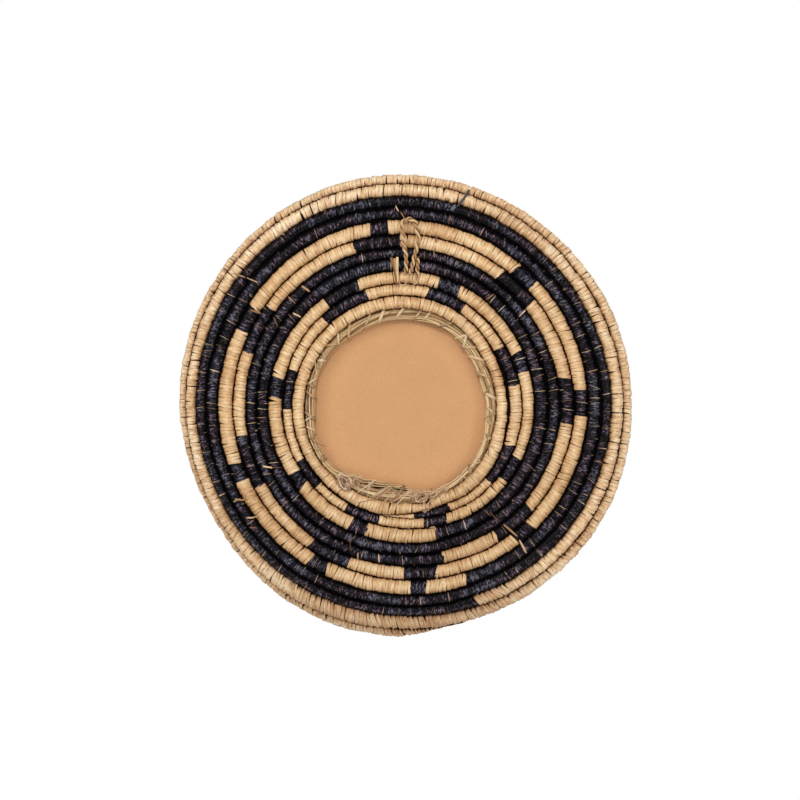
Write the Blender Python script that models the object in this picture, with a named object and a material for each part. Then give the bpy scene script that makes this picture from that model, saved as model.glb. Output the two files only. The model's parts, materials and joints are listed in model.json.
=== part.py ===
"""Round wall mirror in a coiled raffia frame, hung from a twisted raffia loop.

Metres, +Z up. The glass looks along -Y and the wall is on the +Y side.
The origin is where a nail carries the loop, inside its top bend.
Directions round the frame are in degrees, seen from behind: 0 is -X, and 90 is up.
"""
import bpy
import bmesh
from math import radians, sin, cos, pi, exp

# The coiled frame: one long bundle wound from the opening out to the rim.
TURNS = 11
COIL_PITCH = 0.0084
COIL_THICKNESS = 0.0080
VALLEY_THICKNESS = 0.0038
OPENING_RADIUS = 0.0602
START_DIRECTION = 285.0
SIDE_BULGE = 0.0012
STEPS_PER_TURN = 48

# The coil is thin where it starts and ends, and steps out where a new turn begins.
START_WIDTH_SHARE = 0.35
START_TAPER = 60.0
END_WIDTH_SHARE = 0.45
END_TAPER = 30.0
SEAM_STEP = 0.26
SEAM_EASE = 12.0

# The outer turns lean forward into a rim, and more so low down on one side.
RIM_FIRST_TURN = 7.5
RIM_LEAN = 41.0
TUCK_FIRST_TURN = 9.2
TUCK_LEAN = 27.0
TUCK_DIRECTION = 212.0
TUCK_SPREAD = 46.0

# Hand work is never quite round: waves as (count, height, direction of a crest).
OPENING_WAVES = ((1, 0.0009, 190.0), (2, 0.0006, 158.0), (3, 0.0009, 81.5))
RIM_WAVES = ((1, 0.0010, 12.0), (2, 0.0008, 116.0), (3, 0.0007, 356.0))

# The ring of raw grass that the first turn is sewn to.
GRASS_WIDTH = 0.0066
GRASS_HEIGHT = 0.0065
GRASS_LAP_WIDTH = 0.0048
GRASS_LAP_DIRECTION = 253.0
GRASS_LAP_SPREAD = 40.0
GRASS_EASE = 10.0

# The board and the glass on it, glued to the front of the first turns.
BOARD_THICKNESS = 0.0030
GLASS_THICKNESS = 0.0020
GLUE_LAP = 0.0064
BORDER_DIAMETER = 0.0072
FIT_GAP = 0.0003

# The loop: a twisted cord that goes in behind the third turn.
CORD_DIAMETER = 0.0028
LOOP_ROOT_TURN = 3
LOOP_ROOT_Z = -0.0335
RING_OFFSET_X = 0.0030
LOOP_ROUTE = (
    (0.0020, LOOP_ROOT_Z),
    (0.0019, -0.0277),
    (0.0022, -0.0218),
    (0.0033, -0.0166),
    (0.0040, -0.0100),
    (0.0048, -0.0045),
    (0.0038, -0.0004),
    (0.0002, 0.0014),
    (-0.0036, -0.0004),
    (-0.0050, -0.0040),
    (-0.0058, -0.0090),
    (-0.0060, -0.0130),
    (-0.0052, -0.0180),
    (-0.0037, -0.0235),
    (-0.0024, -0.0290),
    (-0.0014, LOOP_ROOT_Z),
)
LOOP_POINTS_PER_SPAN = 3

# Shares of a turn's width where the flat top of its faceted round begins and ends.
CREST_START = 0.27
CREST_END = 0.73
TILT_STEPS_PER_TURN = 12
RING_STEPS = 48
RING_SIDES = 8
DISC_STEPS = 64
DYED_TURNS = (3, 4, 7, 8)

CORD_RADIUS = CORD_DIAMETER / 2
MID_PLANE_Y = -(CORD_RADIUS + 2 * FIT_GAP + COIL_THICKNESS / 2)
FRONT_PLANE_Y = MID_PLANE_Y - COIL_THICKNESS / 2
BOARD_BACK_Y = FRONT_PLANE_Y - FIT_GAP
BOARD_FRONT_Y = BOARD_BACK_Y - BOARD_THICKNESS
GLASS_BACK_Y = BOARD_FRONT_Y - FIT_GAP
GLASS_FRONT_Y = GLASS_BACK_Y - GLASS_THICKNESS
DISC_RADIUS = OPENING_RADIUS + COIL_PITCH + GLUE_LAP


def smooth(value):
    value = min(1.0, max(0.0, value))
    return value * value * (3 - 2 * value)


def turn_share(direction):
    """How far round the turn a direction is, from 0 at the coil's start to 1."""
    return ((direction - START_DIRECTION) % 360) / 360


def hump(direction, centre, spread):
    """1 in the centre direction, easing to 0 at spread degrees from it."""
    away = abs((direction - centre + 180) % 360 - 180)
    if away >= spread:
        return 0.0
    return cos(pi / 2 * away / spread) ** 2


def seam_shift(share):
    """Turns step out near the seam, and gain less in between."""
    away = min(share, 1 - share) * 360
    return SEAM_STEP * (0.5 - share) * (1 - exp(-(away / SEAM_EASE) ** 2))


def waves(direction, out):
    total = 0.0
    for count, height, crest in OPENING_WAVES:
        total += (1 - out) * height * cos(count * radians(direction - crest))
    for count, height, crest in RIM_WAVES:
        total += out * height * cos(count * radians(direction - crest))
    return total


def lean(turn, direction):
    """Forward lean of the frame's surface, in radians, at a place counted in turns."""
    rim = RIM_LEAN * min(1.0, max(0.0, (turn - RIM_FIRST_TURN) / (TURNS - RIM_FIRST_TURN)))
    tuck = TUCK_LEAN * smooth((turn - TUCK_FIRST_TURN) / (TURNS - TUCK_FIRST_TURN))
    return radians(rim + tuck * hump(direction, TUCK_DIRECTION, TUCK_SPREAD))


def mid_surface(turn, direction):
    """Radius, Y and lean of the frame's middle surface."""
    flat_turns = min(turn, RIM_FIRST_TURN)
    radius = OPENING_RADIUS + COIL_PITCH * flat_turns
    depth = 0.0
    left = turn - flat_turns
    if left > 0:
        steps = max(1, round(left * TILT_STEPS_PER_TURN))
        for step in range(steps):
            angle = lean(flat_turns + (step + 0.5) * left / steps, direction)
            radius += COIL_PITCH * left / steps * cos(angle)
            depth -= COIL_PITCH * left / steps * sin(angle)
    radius += waves(direction, min(1.0, turn / TURNS))
    return radius, MID_PLANE_Y + depth, lean(turn, direction)


RING_CENTRE_Z = LOOP_ROOT_Z - mid_surface(LOOP_ROOT_TURN + turn_share(90.0), 90.0)[0]


def place(radius, y, direction):
    """World point at a radius from the ring's centre, seen from behind."""
    angle = radians(direction)
    return (RING_OFFSET_X - radius * cos(angle), y, RING_CENTRE_Z + radius * sin(angle))


def start_width(share):
    return START_WIDTH_SHARE + (1 - START_WIDTH_SHARE) * smooth(share * 360 / START_TAPER)


def end_width(share):
    return END_WIDTH_SHARE + (1 - END_WIDTH_SHARE) * smooth((1 - share) * 360 / END_TAPER)


def boundary_turn(line, share):
    """Place, in turns, of the line between two coils. Lines 0 and TURNS are the edges."""
    turn = line + share + seam_shift(share)
    if line == 0:
        turn += 1 - start_width(share)
        turn += SIDE_BULGE / COIL_PITCH * smooth((1 - share) * 360 / START_TAPER)
    if line == TURNS:
        turn -= 1 - end_width(share)
        turn -= SIDE_BULGE / COIL_PITCH * smooth(share * 360 / END_TAPER)
    return turn


def inner_edge(direction):
    share = turn_share(direction)
    return mid_surface(boundary_turn(0, share), direction)[0] - SIDE_BULGE


def eased_inner_edge(direction):
    """The opening's edge without its step, never outside the true one."""
    offsets = (-GRASS_EASE, -GRASS_EASE / 2, 0.0, GRASS_EASE / 2, GRASS_EASE)
    total = 0.0
    for offset in offsets:
        total += min(inner_edge(direction + offset + more) for more in offsets)
    return total / len(offsets)


def material(name, colour, roughness, metallic=0.0):
    made = bpy.data.materials.new(name)
    made.use_nodes = True
    shader = made.node_tree.nodes["Principled BSDF"]
    shader.inputs["Base Color"].default_value = (*colour, 1.0)
    shader.inputs["Roughness"].default_value = roughness
    shader.inputs["Metallic"].default_value = metallic
    made.diffuse_color = (*colour, 1.0)
    return made


def finish(name, mesh, bm, materials):
    """Turn a bmesh into a smooth-shaded object with outward faces."""
    bmesh.ops.recalc_face_normals(bm, faces=bm.faces)
    bm.to_mesh(mesh)
    bm.free()
    mesh.shade_smooth()
    mesh.set_sharp_from_angle(angle=radians(50))
    for each in materials:
        mesh.materials.append(each)
    made = bpy.data.objects.new(name, mesh)
    bpy.context.collection.objects.link(made)
    return made


class CoilMesh:
    """The wound coil as one closed body, section by section round the ring."""

    def __init__(self):
        self.bm = bmesh.new()
        self.known = {}

    def vertex(self, key, column, turn, height, push=0.0):
        """A vertex, made once. The last column is the first one, a turn further out."""
        if key in self.known:
            return self.known[key]
        direction = START_DIRECTION + 360 * column / STEPS_PER_TURN
        radius, y, angle = mid_surface(turn, direction)
        radius += height * sin(angle) + push * cos(angle)
        y += height * cos(angle) - push * sin(angle)
        self.known[key] = self.bm.verts.new(place(radius, y, direction))
        return self.known[key]

    def line(self, line, column, side):
        """Vertex in the valley between two coils, or on an edge, behind or in front."""
        if column == STEPS_PER_TURN and line < TURNS:
            return self.line(line + 1, 0, side)
        turn = boundary_turn(line, column / STEPS_PER_TURN)
        return self.vertex(("line", line, column, side), column, turn, side * VALLEY_THICKNESS / 2)

    def crest(self, coil, column, side, part):
        """Vertex near the top of one coil's round."""
        if column == STEPS_PER_TURN and coil < TURNS - 1:
            return self.crest(coil + 1, 0, side, part)
        share = column / STEPS_PER_TURN
        low = boundary_turn(coil, share)
        high = boundary_turn(coil + 1, share)
        turn = low + (high - low) * (CREST_START if part == 0 else CREST_END)
        fullness = (0.55 + 0.45 * min(1.0, high - low)) if coil in (0, TURNS - 1) else 1.0
        height = side * COIL_THICKNESS / 2 * fullness
        return self.vertex(("crest", coil, column, side, part), column, turn, height)

    def edge(self, line, column, side):
        """Vertex on the rounded inner or outer edge of the frame."""
        push = -SIDE_BULGE if line == 0 else SIDE_BULGE
        turn = boundary_turn(line, column / STEPS_PER_TURN)
        height = side * VALLEY_THICKNESS / 4
        return self.vertex(("edge", line, column, side), column, turn, height, push)

    def strip(self, first, second):
        for low in range(len(first) - 1):
            self.bm.faces.new((first[low], second[low], second[low + 1], first[low + 1]))

    def profile(self, coil, column, side):
        low = self.line(coil, column, side)
        middle = [self.crest(coil, column, side, 0), self.crest(coil, column, side, 1)]
        return [low, *middle, self.line(coil + 1, column, side)]

    def edge_profile(self, line, column):
        rounded = [self.edge(line, column, 1), self.edge(line, column, -1)]
        return [self.line(line, column, 1), *rounded, self.line(line, column, -1)]

    def cap(self, coil, column, own_line, other_line, other_column):
        """Close the cut end of the coil against the edge of the turn beside it."""
        behind = self.profile(coil, column, 1)
        front = self.profile(coil, column, -1)
        own = self.edge_profile(own_line, column)
        other = self.edge_profile(other_line, other_column)
        if own_line == 0:
            loop = behind + other[1:-1] + front[::-1] + own[-2:0:-1]
        else:
            loop = behind[::-1] + other[1:-1] + front + own[-2:0:-1]
        self.bm.faces.new(loop)

    def build(self):
        for column in range(STEPS_PER_TURN):
            for coil in range(TURNS):
                for side in (1, -1):
                    self.strip(self.profile(coil, column, side), self.profile(coil, column + 1, side))
            for line in (0, TURNS):
                self.strip(self.edge_profile(line, column), self.edge_profile(line, column + 1))
        self.cap(0, 0, 0, 0, STEPS_PER_TURN)
        self.cap(TURNS - 1, STEPS_PER_TURN, TURNS, TURNS, 0)
        return self.bm


def woven_coil(natural, dyed):
    bm = CoilMesh().build()
    for face in bm.faces:
        middle = face.calc_center_median()
        reach = ((middle.x - RING_OFFSET_X) ** 2 + (middle.z - RING_CENTRE_Z) ** 2) ** 0.5
        turn = (reach - OPENING_RADIUS) / COIL_PITCH - 0.5
        face.material_index = 1 if round(turn) in DYED_TURNS else 0
    return finish("woven_coil", bpy.data.meshes.new("woven_coil"), bm, (natural, dyed))


def ring_body(name, section, sides, made_of):
    """Closed ring whose section is (centre radius, centre Y, half width, half height)."""
    bm = bmesh.new()
    rows = []
    for step in range(RING_STEPS):
        direction = START_DIRECTION + 360 * step / RING_STEPS
        radius, y, half_width, half_height = section(direction)
        row = []
        for side in range(sides):
            angle = 2 * pi * (side + 0.5) / sides
            row.append(bm.verts.new(place(
                radius + half_width * cos(angle), y + half_height * sin(angle), direction)))
        rows.append(row)
    for step in range(RING_STEPS):
        first, second = rows[step], rows[(step + 1) % RING_STEPS]
        for side in range(sides):
            after = (side + 1) % sides
            bm.faces.new((first[side], second[side], second[after], first[after]))
    return finish(name, bpy.data.meshes.new(name), bm, (made_of,))


def grass_section(direction):
    width = GRASS_WIDTH + GRASS_LAP_WIDTH * hump(direction, GRASS_LAP_DIRECTION, GRASS_LAP_SPREAD)
    outer = eased_inner_edge(direction) - FIT_GAP
    centre_y = FRONT_PLANE_Y + GRASS_HEIGHT / 2
    return outer - width / 2, centre_y, width / 2, GRASS_HEIGHT / 2


def border_section(direction):
    half = BORDER_DIAMETER / 2
    return DISC_RADIUS + FIT_GAP + half, BOARD_BACK_Y - half, half, half


def disc(name, radius, back_y, front_y, made_of):
    bm = bmesh.new()
    behind = []
    for step in range(DISC_STEPS):
        behind.append(bm.verts.new(place(radius, back_y, 360 * step / DISC_STEPS)))
    made = bmesh.ops.extrude_face_region(bm, geom=[bm.faces.new(behind)])
    moved = [item for item in made["geom"] if isinstance(item, bmesh.types.BMVert)]
    bmesh.ops.translate(bm, verts=moved, vec=(0.0, front_y - back_y, 0.0))
    return finish(name, bpy.data.meshes.new(name), bm, (made_of,))


def route_point(before, start, end, after, share):
    """Point on a smooth curve from start to end."""
    point = []
    for p0, p1, p2, p3 in zip(before, start, end, after):
        point.append(0.5 * (
            2 * p1 + (p2 - p0) * share
            + (2 * p0 - 5 * p1 + 4 * p2 - p3) * share ** 2
            + (3 * p1 - p0 - 3 * p2 + p3) * share ** 3))
    return point


def loop_points():
    route = [LOOP_ROUTE[0], *LOOP_ROUTE, LOOP_ROUTE[-1]]
    points = []
    for span in range(len(LOOP_ROUTE) - 1):
        for step in range(LOOP_POINTS_PER_SPAN):
            points.append(route_point(*route[span:span + 4], step / LOOP_POINTS_PER_SPAN))
    points.append(LOOP_ROUTE[-1])
    return [(x, 0.0, z) for x, z in points]


def hanging_loop(made_of):
    curve = bpy.data.curves.new("hanging_loop", "CURVE")
    curve.dimensions = "3D"
    curve.bevel_depth = CORD_RADIUS
    curve.bevel_resolution = 2
    curve.use_fill_caps = True
    spline = curve.splines.new("POLY")
    points = loop_points()
    spline.points.add(len(points) - 1)
    for point, place_of in zip(spline.points, points):
        point.co = (*place_of, 1.0)
    curve.materials.append(made_of)
    made = bpy.data.objects.new("hanging_loop", curve)
    bpy.context.collection.objects.link(made)
    return made


def main():
    for old in list(bpy.data.objects):
        bpy.data.objects.remove(old, do_unlink=True)
    natural = material("raffia_natural", (0.72, 0.50, 0.28), 0.55)
    dyed = material("raffia_dyed", (0.035, 0.028, 0.038), 0.45)
    grass = material("raw_grass", (0.45, 0.33, 0.15), 0.65)
    board = material("fibreboard", (0.66, 0.37, 0.17), 0.85)
    glass = material("mirror_glass", (0.92, 0.93, 0.93), 0.02, 1.0)
    cord = material("raffia_cord", (0.60, 0.42, 0.24), 0.60)
    woven_coil(natural, dyed)
    ring_body("grass_ring", grass_section, RING_SIDES, grass)
    ring_body("border_coil", border_section, RING_SIDES, natural)
    disc("backing_board", DISC_RADIUS, BOARD_BACK_Y, BOARD_FRONT_Y, board)
    disc("mirror_glass", DISC_RADIUS, GLASS_BACK_Y, GLASS_FRONT_Y, glass)
    hanging_loop(cord)


main()
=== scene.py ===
import bpy
import bmesh
import json
import random
from math import sin, cos, pi, radians, degrees, exp, hypot
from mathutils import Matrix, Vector

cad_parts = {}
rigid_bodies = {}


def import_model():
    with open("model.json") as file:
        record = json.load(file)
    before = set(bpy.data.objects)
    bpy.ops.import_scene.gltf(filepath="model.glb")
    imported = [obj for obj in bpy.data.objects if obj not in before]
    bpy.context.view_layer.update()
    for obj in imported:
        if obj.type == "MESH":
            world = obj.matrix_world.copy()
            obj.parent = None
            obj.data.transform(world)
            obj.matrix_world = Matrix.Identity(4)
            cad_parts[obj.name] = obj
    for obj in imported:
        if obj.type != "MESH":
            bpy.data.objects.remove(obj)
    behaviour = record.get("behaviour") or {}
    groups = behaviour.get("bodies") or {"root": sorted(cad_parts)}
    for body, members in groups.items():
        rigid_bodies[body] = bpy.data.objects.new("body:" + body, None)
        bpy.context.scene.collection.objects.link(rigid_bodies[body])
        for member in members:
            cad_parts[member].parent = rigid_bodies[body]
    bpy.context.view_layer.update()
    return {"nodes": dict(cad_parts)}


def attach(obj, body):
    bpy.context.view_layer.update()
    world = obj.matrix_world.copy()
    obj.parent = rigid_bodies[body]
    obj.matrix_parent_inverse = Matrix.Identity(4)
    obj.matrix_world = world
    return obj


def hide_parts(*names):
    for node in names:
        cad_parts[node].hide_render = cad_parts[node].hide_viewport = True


# Round wall mirror in a coiled raffia frame, seen from behind with its hanging loop.
# Metres, +Z up; the glass looks along -Y and the wall is on the +Y side.
# Directions round the frame are in degrees as seen from behind: 0 is -X, 90 is up.

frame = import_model()
nodes = frame["nodes"]
print("frame loaded:", ", ".join(sorted(nodes)))


# Helpers for node trees.

def plug(tree, socket, value):
    if isinstance(value, bpy.types.NodeSocket):
        tree.links.new(value, socket)
    else:
        socket.default_value = value


def addNode(tree, kind, inputs=None, **settings):
    made = tree.nodes.new(kind)
    for key, value in settings.items():
        setattr(made, key, value)
    for key, value in (inputs or {}).items():
        plug(tree, made.inputs[key], value)
    return made


def calc(tree, operation, *parts, clamp=False):
    made = addNode(tree, "ShaderNodeMath", dict(enumerate(parts)), operation=operation)
    made.use_clamp = clamp
    return made.outputs[0]


def vectorCalc(tree, operation, first, second):
    place = 3 if operation == "SCALE" else 1  # the factor of a scale has its own socket
    return addNode(tree, "ShaderNodeVectorMath", {0: first, place: second},
                   operation=operation).outputs[0]


def combine(tree, x, y, z):
    return addNode(tree, "ShaderNodeCombineXYZ", {0: x, 1: y, 2: z}).outputs[0]


def anyBetween(tree, low, high, seed, ident=None):
    inputs = {2: low, 3: high, 8: seed}
    if ident is not None:
        inputs[7] = ident
    return addNode(tree, "FunctionNodeRandomValue", inputs, data_type="FLOAT").outputs[1]


def named(tree, name, kind="FLOAT"):
    made = addNode(tree, "GeometryNodeInputNamedAttribute", data_type=kind)
    made.inputs["Name"].default_value = name
    return made.outputs[0]


def keep(tree, geometry, name, value, domain):
    made = addNode(tree, "GeometryNodeStoreNamedAttribute", data_type="FLOAT", domain=domain)
    made.inputs["Name"].default_value = name
    plug(tree, made.inputs["Geometry"], geometry)
    plug(tree, made.inputs["Value"], value)
    return made.outputs[0]


def startTree(name, sizes):
    tree = bpy.data.node_groups.new(name, "GeometryNodeTree")
    tree.interface.new_socket("Path", in_out="INPUT", socket_type="NodeSocketGeometry")
    for label, kind in sizes.items():
        tree.interface.new_socket(label, in_out="INPUT", socket_type="NodeSocket" + kind)
    tree.interface.new_socket("Result", in_out="OUTPUT", socket_type="NodeSocketGeometry")
    return tree, tree.nodes.new("NodeGroupInput").outputs


def endTree(tree, geometry, finish):
    real = addNode(tree, "GeometryNodeRealizeInstances", {0: geometry})
    dressed = addNode(tree, "GeometryNodeSetMaterial",
                      {"Geometry": real.outputs[0], "Material": finish})
    tree.links.new(dressed.outputs[0], tree.nodes.new("NodeGroupOutput").inputs[0])
    return tree


def grow(carrier, tree, values):
    # runs the tree on its carrier and keeps the result as the carrier's own plain mesh
    modifier = carrier.modifiers.new(tree.name, "NODES")
    modifier.node_group = tree
    for item in tree.interface.items_tree:
        if item.in_out == "INPUT" and item.name in values:
            modifier[item.identifier] = values[item.name]
    graph = bpy.context.evaluated_depsgraph_get()
    result = bpy.data.meshes.new_from_object(
        carrier.evaluated_get(graph), preserve_all_data_layers=True, depsgraph=graph)
    carrier.modifiers.remove(modifier)
    path = carrier.data
    carrier.data = result
    result.name = carrier.name
    bpy.data.meshes.remove(path)
    return carrier


def addObject(name, data):
    made = bpy.data.objects.new(name, data)
    bpy.context.scene.collection.objects.link(made)
    return made


def settle(piece, slotName, *replaced):
    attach(piece, "root")
    if replaced:
        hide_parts(*replaced)
    print("piece done:", piece.name, len(piece.data.polygons), "faces")
    return piece


# The picture: camera, world, floor and lights.

studio = {
    "distance": 4.0,            # from the camera to the backs of the coils
    "pictureWidth": 0.536,      # what the picture takes in at that distance
    "middle": (0.00603, -0.11993),
    "floorZ": -0.95,
    "floorSize": 16.0,
    "worldFill": 0.24,          # how bright the white surroundings are for everything but the camera
    "worldGlint": 0.03,         # and how bright in soft reflections
    "worldInGlass": 0.6,        # and in the mirror
    "lights": {
        "keyLight": ((0.4, 3.5, 1.9), 1.2, 46.0),
        "leftLight": ((2.7, 1.9, 1.3), 1.5, 40.0),
        "rightLight": ((-2.6, 2.0, 0.4), 1.5, 27.0),
        "topLight": ((0.2, 1.7, 3.0), 1.5, 24.0),
        "frontLight": ((-1.4, -3.0, 1.6), 2.0, 90.0),
    },
}


def makeCamera():
    data = bpy.data.cameras.new("camera")
    data.sensor_width = 36.0
    data.lens = 36.0 * studio["distance"] / studio["pictureWidth"]
    data.clip_end = 60.0
    camera = addObject("camera", data)
    x, z = studio["middle"]
    camera.location = (x, studio["distance"], z)
    camera.rotation_euler = (radians(90), 0, radians(180))
    bpy.context.scene.camera = camera


def makeLights():
    target = Vector((0.003, 0.0, -0.123))
    for name, (place, size, power) in studio["lights"].items():
        data = bpy.data.lights.new(name, "AREA")
        data.shape = "DISK"
        data.size = size
        data.energy = power
        lamp = addObject(name, data)
        lamp.location = place
        lamp.rotation_euler = (target - Vector(place)).to_track_quat("-Z", "Y").to_euler()
        lamp.visible_camera = False


def makeSurroundings():
    world = bpy.data.worlds.new("studio")
    world.use_nodes = True
    tree = world.node_tree
    ray = addNode(tree, "ShaderNodeLightPath").outputs
    fill, glint = studio["worldFill"], studio["worldGlint"]
    glossy = calc(tree, "MULTIPLY", ray["Is Glossy Ray"], calc(tree, "SUBTRACT", 1.0, ray["Is Singular Ray"]))
    around = calc(tree, "MULTIPLY_ADD", glossy, glint - fill, fill)
    tree.nodes["Background"].inputs[0].default_value = (1, 1, 1, 1)
    mirrored = calc(tree, "MULTIPLY", ray["Is Singular Ray"], studio["worldInGlass"])
    seen = calc(tree, "MAXIMUM", calc(tree, "MAXIMUM", ray["Is Camera Ray"], mirrored), around)
    plug(tree, tree.nodes["Background"].inputs[1], seen)
    bpy.context.scene.world = world
    bpy.context.scene.view_settings.view_transform = "Standard"
    half = studio["floorSize"] / 2
    mesh = bpy.data.meshes.new("floor")
    corners = [(-half, -half, 0), (half, -half, 0), (half, half, 0), (-half, half, 0)]
    mesh.from_pydata([(x, y, studio["floorZ"]) for x, y, _ in corners], [], [(0, 1, 2, 3)])
    paint = bpy.data.materials.new("floorPaint")
    paint.use_nodes = True
    paint.node_tree.nodes["Principled BSDF"].inputs["Base Color"].default_value = (0.86, 0.86, 0.85, 1)
    paint.node_tree.nodes["Principled BSDF"].inputs["Roughness"].default_value = 0.7
    mesh.materials.append(paint)
    addObject("floor", mesh)


makeCamera()
makeLights()
makeSurroundings()
print("stage done: camera, lights, floor")


# Finishes.

def paintTone(red, green, blue):
    # a colour as a painter's 0 to 255 steps, made linear for the shader
    tones = []
    for step in (red, green, blue):
        value = step / 255
        tones.append(value / 12.92 if value <= 0.04045 else ((value + 0.055) / 1.055) ** 2.4)
    return (*tones, 1.0)


def startFinish(name, roughness):
    finish = bpy.data.materials.new(name)
    finish.use_nodes = True
    tree = finish.node_tree
    shader = tree.nodes["Principled BSDF"]
    shader.inputs["Roughness"].default_value = roughness
    return finish, tree, shader


def noise(tree, place, scale, detail=2.0, roughness=0.5):
    inputs = {"Vector": place, "Scale": scale, "Detail": detail, "Roughness": roughness}
    return addNode(tree, "ShaderNodeTexNoise", inputs).outputs["Fac"]


def mixTone(tree, factor, first, second, blend="MIX"):
    made = addNode(tree, "ShaderNodeMix", data_type="RGBA", blend_type=blend)
    plug(tree, made.inputs[0], factor)
    plug(tree, made.inputs[6], first)
    plug(tree, made.inputs[7], second)
    return made.outputs[2]


def ramp(tree, factor, stops):
    made = addNode(tree, "ShaderNodeValToRGB", {0: factor})
    band = made.color_ramp
    band.elements[0].position, band.elements[0].color = stops[0]
    band.elements[1].position, band.elements[1].color = stops[-1]
    for position, colour in stops[1:-1]:
        band.elements.new(position).color = colour
    return made.outputs[0]


def fromTo(tree, value, low, high, first=0.0, last=1.0, soft=True):
    inputs = {"Value": value, "From Min": low, "From Max": high, "To Min": first, "To Max": last}
    made = addNode(tree, "ShaderNodeMapRange", inputs,
                   interpolation_type="SMOOTHSTEP" if soft else "LINEAR")
    return made.outputs["Result"]


def bump(tree, shader, height, distance, strength=1.0):
    made = addNode(tree, "ShaderNodeBump",
                   {"Height": height, "Distance": distance, "Strength": strength})
    tree.links.new(made.outputs[0], shader.inputs["Normal"])


def attribute(tree, name):
    return addNode(tree, "ShaderNodeAttribute", attribute_name=name).outputs["Fac"]


def raffiaFinish(name, look):
    # U runs across a wrap, V round the coil from its outer edge by its front and inner edge
    finish, tree, shader = startFinish(name, look["roughness"])
    uv = addNode(tree, "ShaderNodeUVMap", uv_map="UVMap").outputs[0]
    parts = addNode(tree, "ShaderNodeSeparateXYZ", {0: uv}).outputs
    across, round_ = parts[0], parts[1]
    wrapTone, strandTone = attribute(tree, "wrapTone"), attribute(tree, "strandTone")
    where = addNode(tree, "ShaderNodeTexCoord").outputs["Object"]
    own = calc(tree, "MULTIPLY", wrapTone, 57.0)

    def along(fine, rounds, detail=2.0, rough=0.5):
        place = combine(tree, calc(tree, "MULTIPLY", across, fine),
                        calc(tree, "MULTIPLY", round_, rounds), own)
        return noise(tree, place, 1.0, detail, rough)

    fibres = along(look["fibres"], look["rounds"], 3.0, 0.65)
    folds = along(2.6, 3.0, 1.0)
    stain = noise(tree, where, 22.0, 3.0)
    blotch = noise(tree, where, look["blotches"], 3.0, 0.6)
    tone = calc(tree, "MULTIPLY_ADD", calc(tree, "SUBTRACT", fibres, 0.5), look["fibreDepth"], 0.5)
    for source, share in ((wrapTone, "wrapDepth"), (strandTone, "strandDepth"), (folds, "foldDepth"),
                          (stain, "stainDepth"), (blotch, "blotchDepth")):
        tone = calc(tree, "MULTIPLY_ADD", calc(tree, "SUBTRACT", source, 0.5), look[share], tone)
    side = calc(tree, "ABSOLUTE", calc(tree, "COSINE", calc(tree, "MULTIPLY", round_, 2 * pi)))
    # painted highlight and shade: the tone is raised along each coil's crest and lowered toward its sides
    crest = calc(tree, "SUBTRACT", look["crestHighlightShare"], side)
    tone = calc(tree, "MULTIPLY_ADD", crest, look["crestHighlightDepth"], tone)
    colour = ramp(tree, tone, look["tones"])
    odd = fromTo(tree, strandTone, look["oddFrom"], look["oddFrom"] + 0.12)
    colour = mixTone(tree, calc(tree, "MULTIPLY", odd, look["oddShare"]), colour,
                     ramp(tree, tone, look["oddTones"]))

    # painted shade: colour multiplied darker towards the bottom of the frame, where less light falls from above
    depth = addNode(tree, "ShaderNodeSeparateXYZ", {0: where}).outputs[2]
    low = fromTo(tree, depth, *look["lowShadeFromTo"])
    colour = mixTone(tree, calc(tree, "MULTIPLY", low, look["low"]), colour, look["lowShadeTone"], "MULTIPLY")

    # painted shade: thin dark lines in the grooves where one wrap lies over the next, strong at some, hardly there
    # at others
    ragged = calc(tree, "MULTIPLY_ADD", calc(tree, "SUBTRACT", along(1.2, 11.0), 0.5), 0.12, across)
    edge = calc(tree, "ABSOLUTE", calc(tree, "SUBTRACT", ragged, 0.5))
    line = fromTo(tree, edge, look["lineFrom"], 0.5)
    hard = fromTo(tree, calc(tree, "FRACT", calc(tree, "MULTIPLY", wrapTone, 17.3)),
                  look["hardFrom"], look["hardFrom"] + 0.15, look["faint"], look["hard"])
    # painted shade: low down the groove lines are drawn at full strength
    hard = calc(tree, "MAXIMUM", hard, calc(tree, "MULTIPLY", low, look["lowShadeHard"]))
    broken = fromTo(tree, along(1.1, look["breaks"], 1.0), 0.40, 0.58, look["breakTo"], 1.0)
    line = calc(tree, "MULTIPLY", calc(tree, "MULTIPLY", line, broken), hard)
    colour = mixTone(tree, line, colour, look["grooveShadeTone"])
    # painted shade: darker toward each coil's sides, in the valleys between neighbouring turns
    valley = calc(tree, "MULTIPLY", fromTo(tree, side, look["valleyFrom"], 1.0), look["valley"])
    colour = mixTone(tree, valley, colour, look["valleyTone"])
    tree.links.new(colour, shader.inputs["Base Color"])
    rough = calc(tree, "MULTIPLY_ADD", calc(tree, "SUBTRACT", blotch, 0.5), look["roughnessDepth"],
                 look["roughness"])
    tree.links.new(rough, shader.inputs["Roughness"])
    shader.inputs["Specular IOR Level"].default_value = look["gloss"]
    height = calc(tree, "MULTIPLY_ADD", folds, look["foldRelief"], fibres)
    height = calc(tree, "MULTIPLY_ADD", blotch, look["blotchRelief"], height)
    bump(tree, shader, height, look["relief"], look["reliefStrength"])
    return finish


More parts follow.
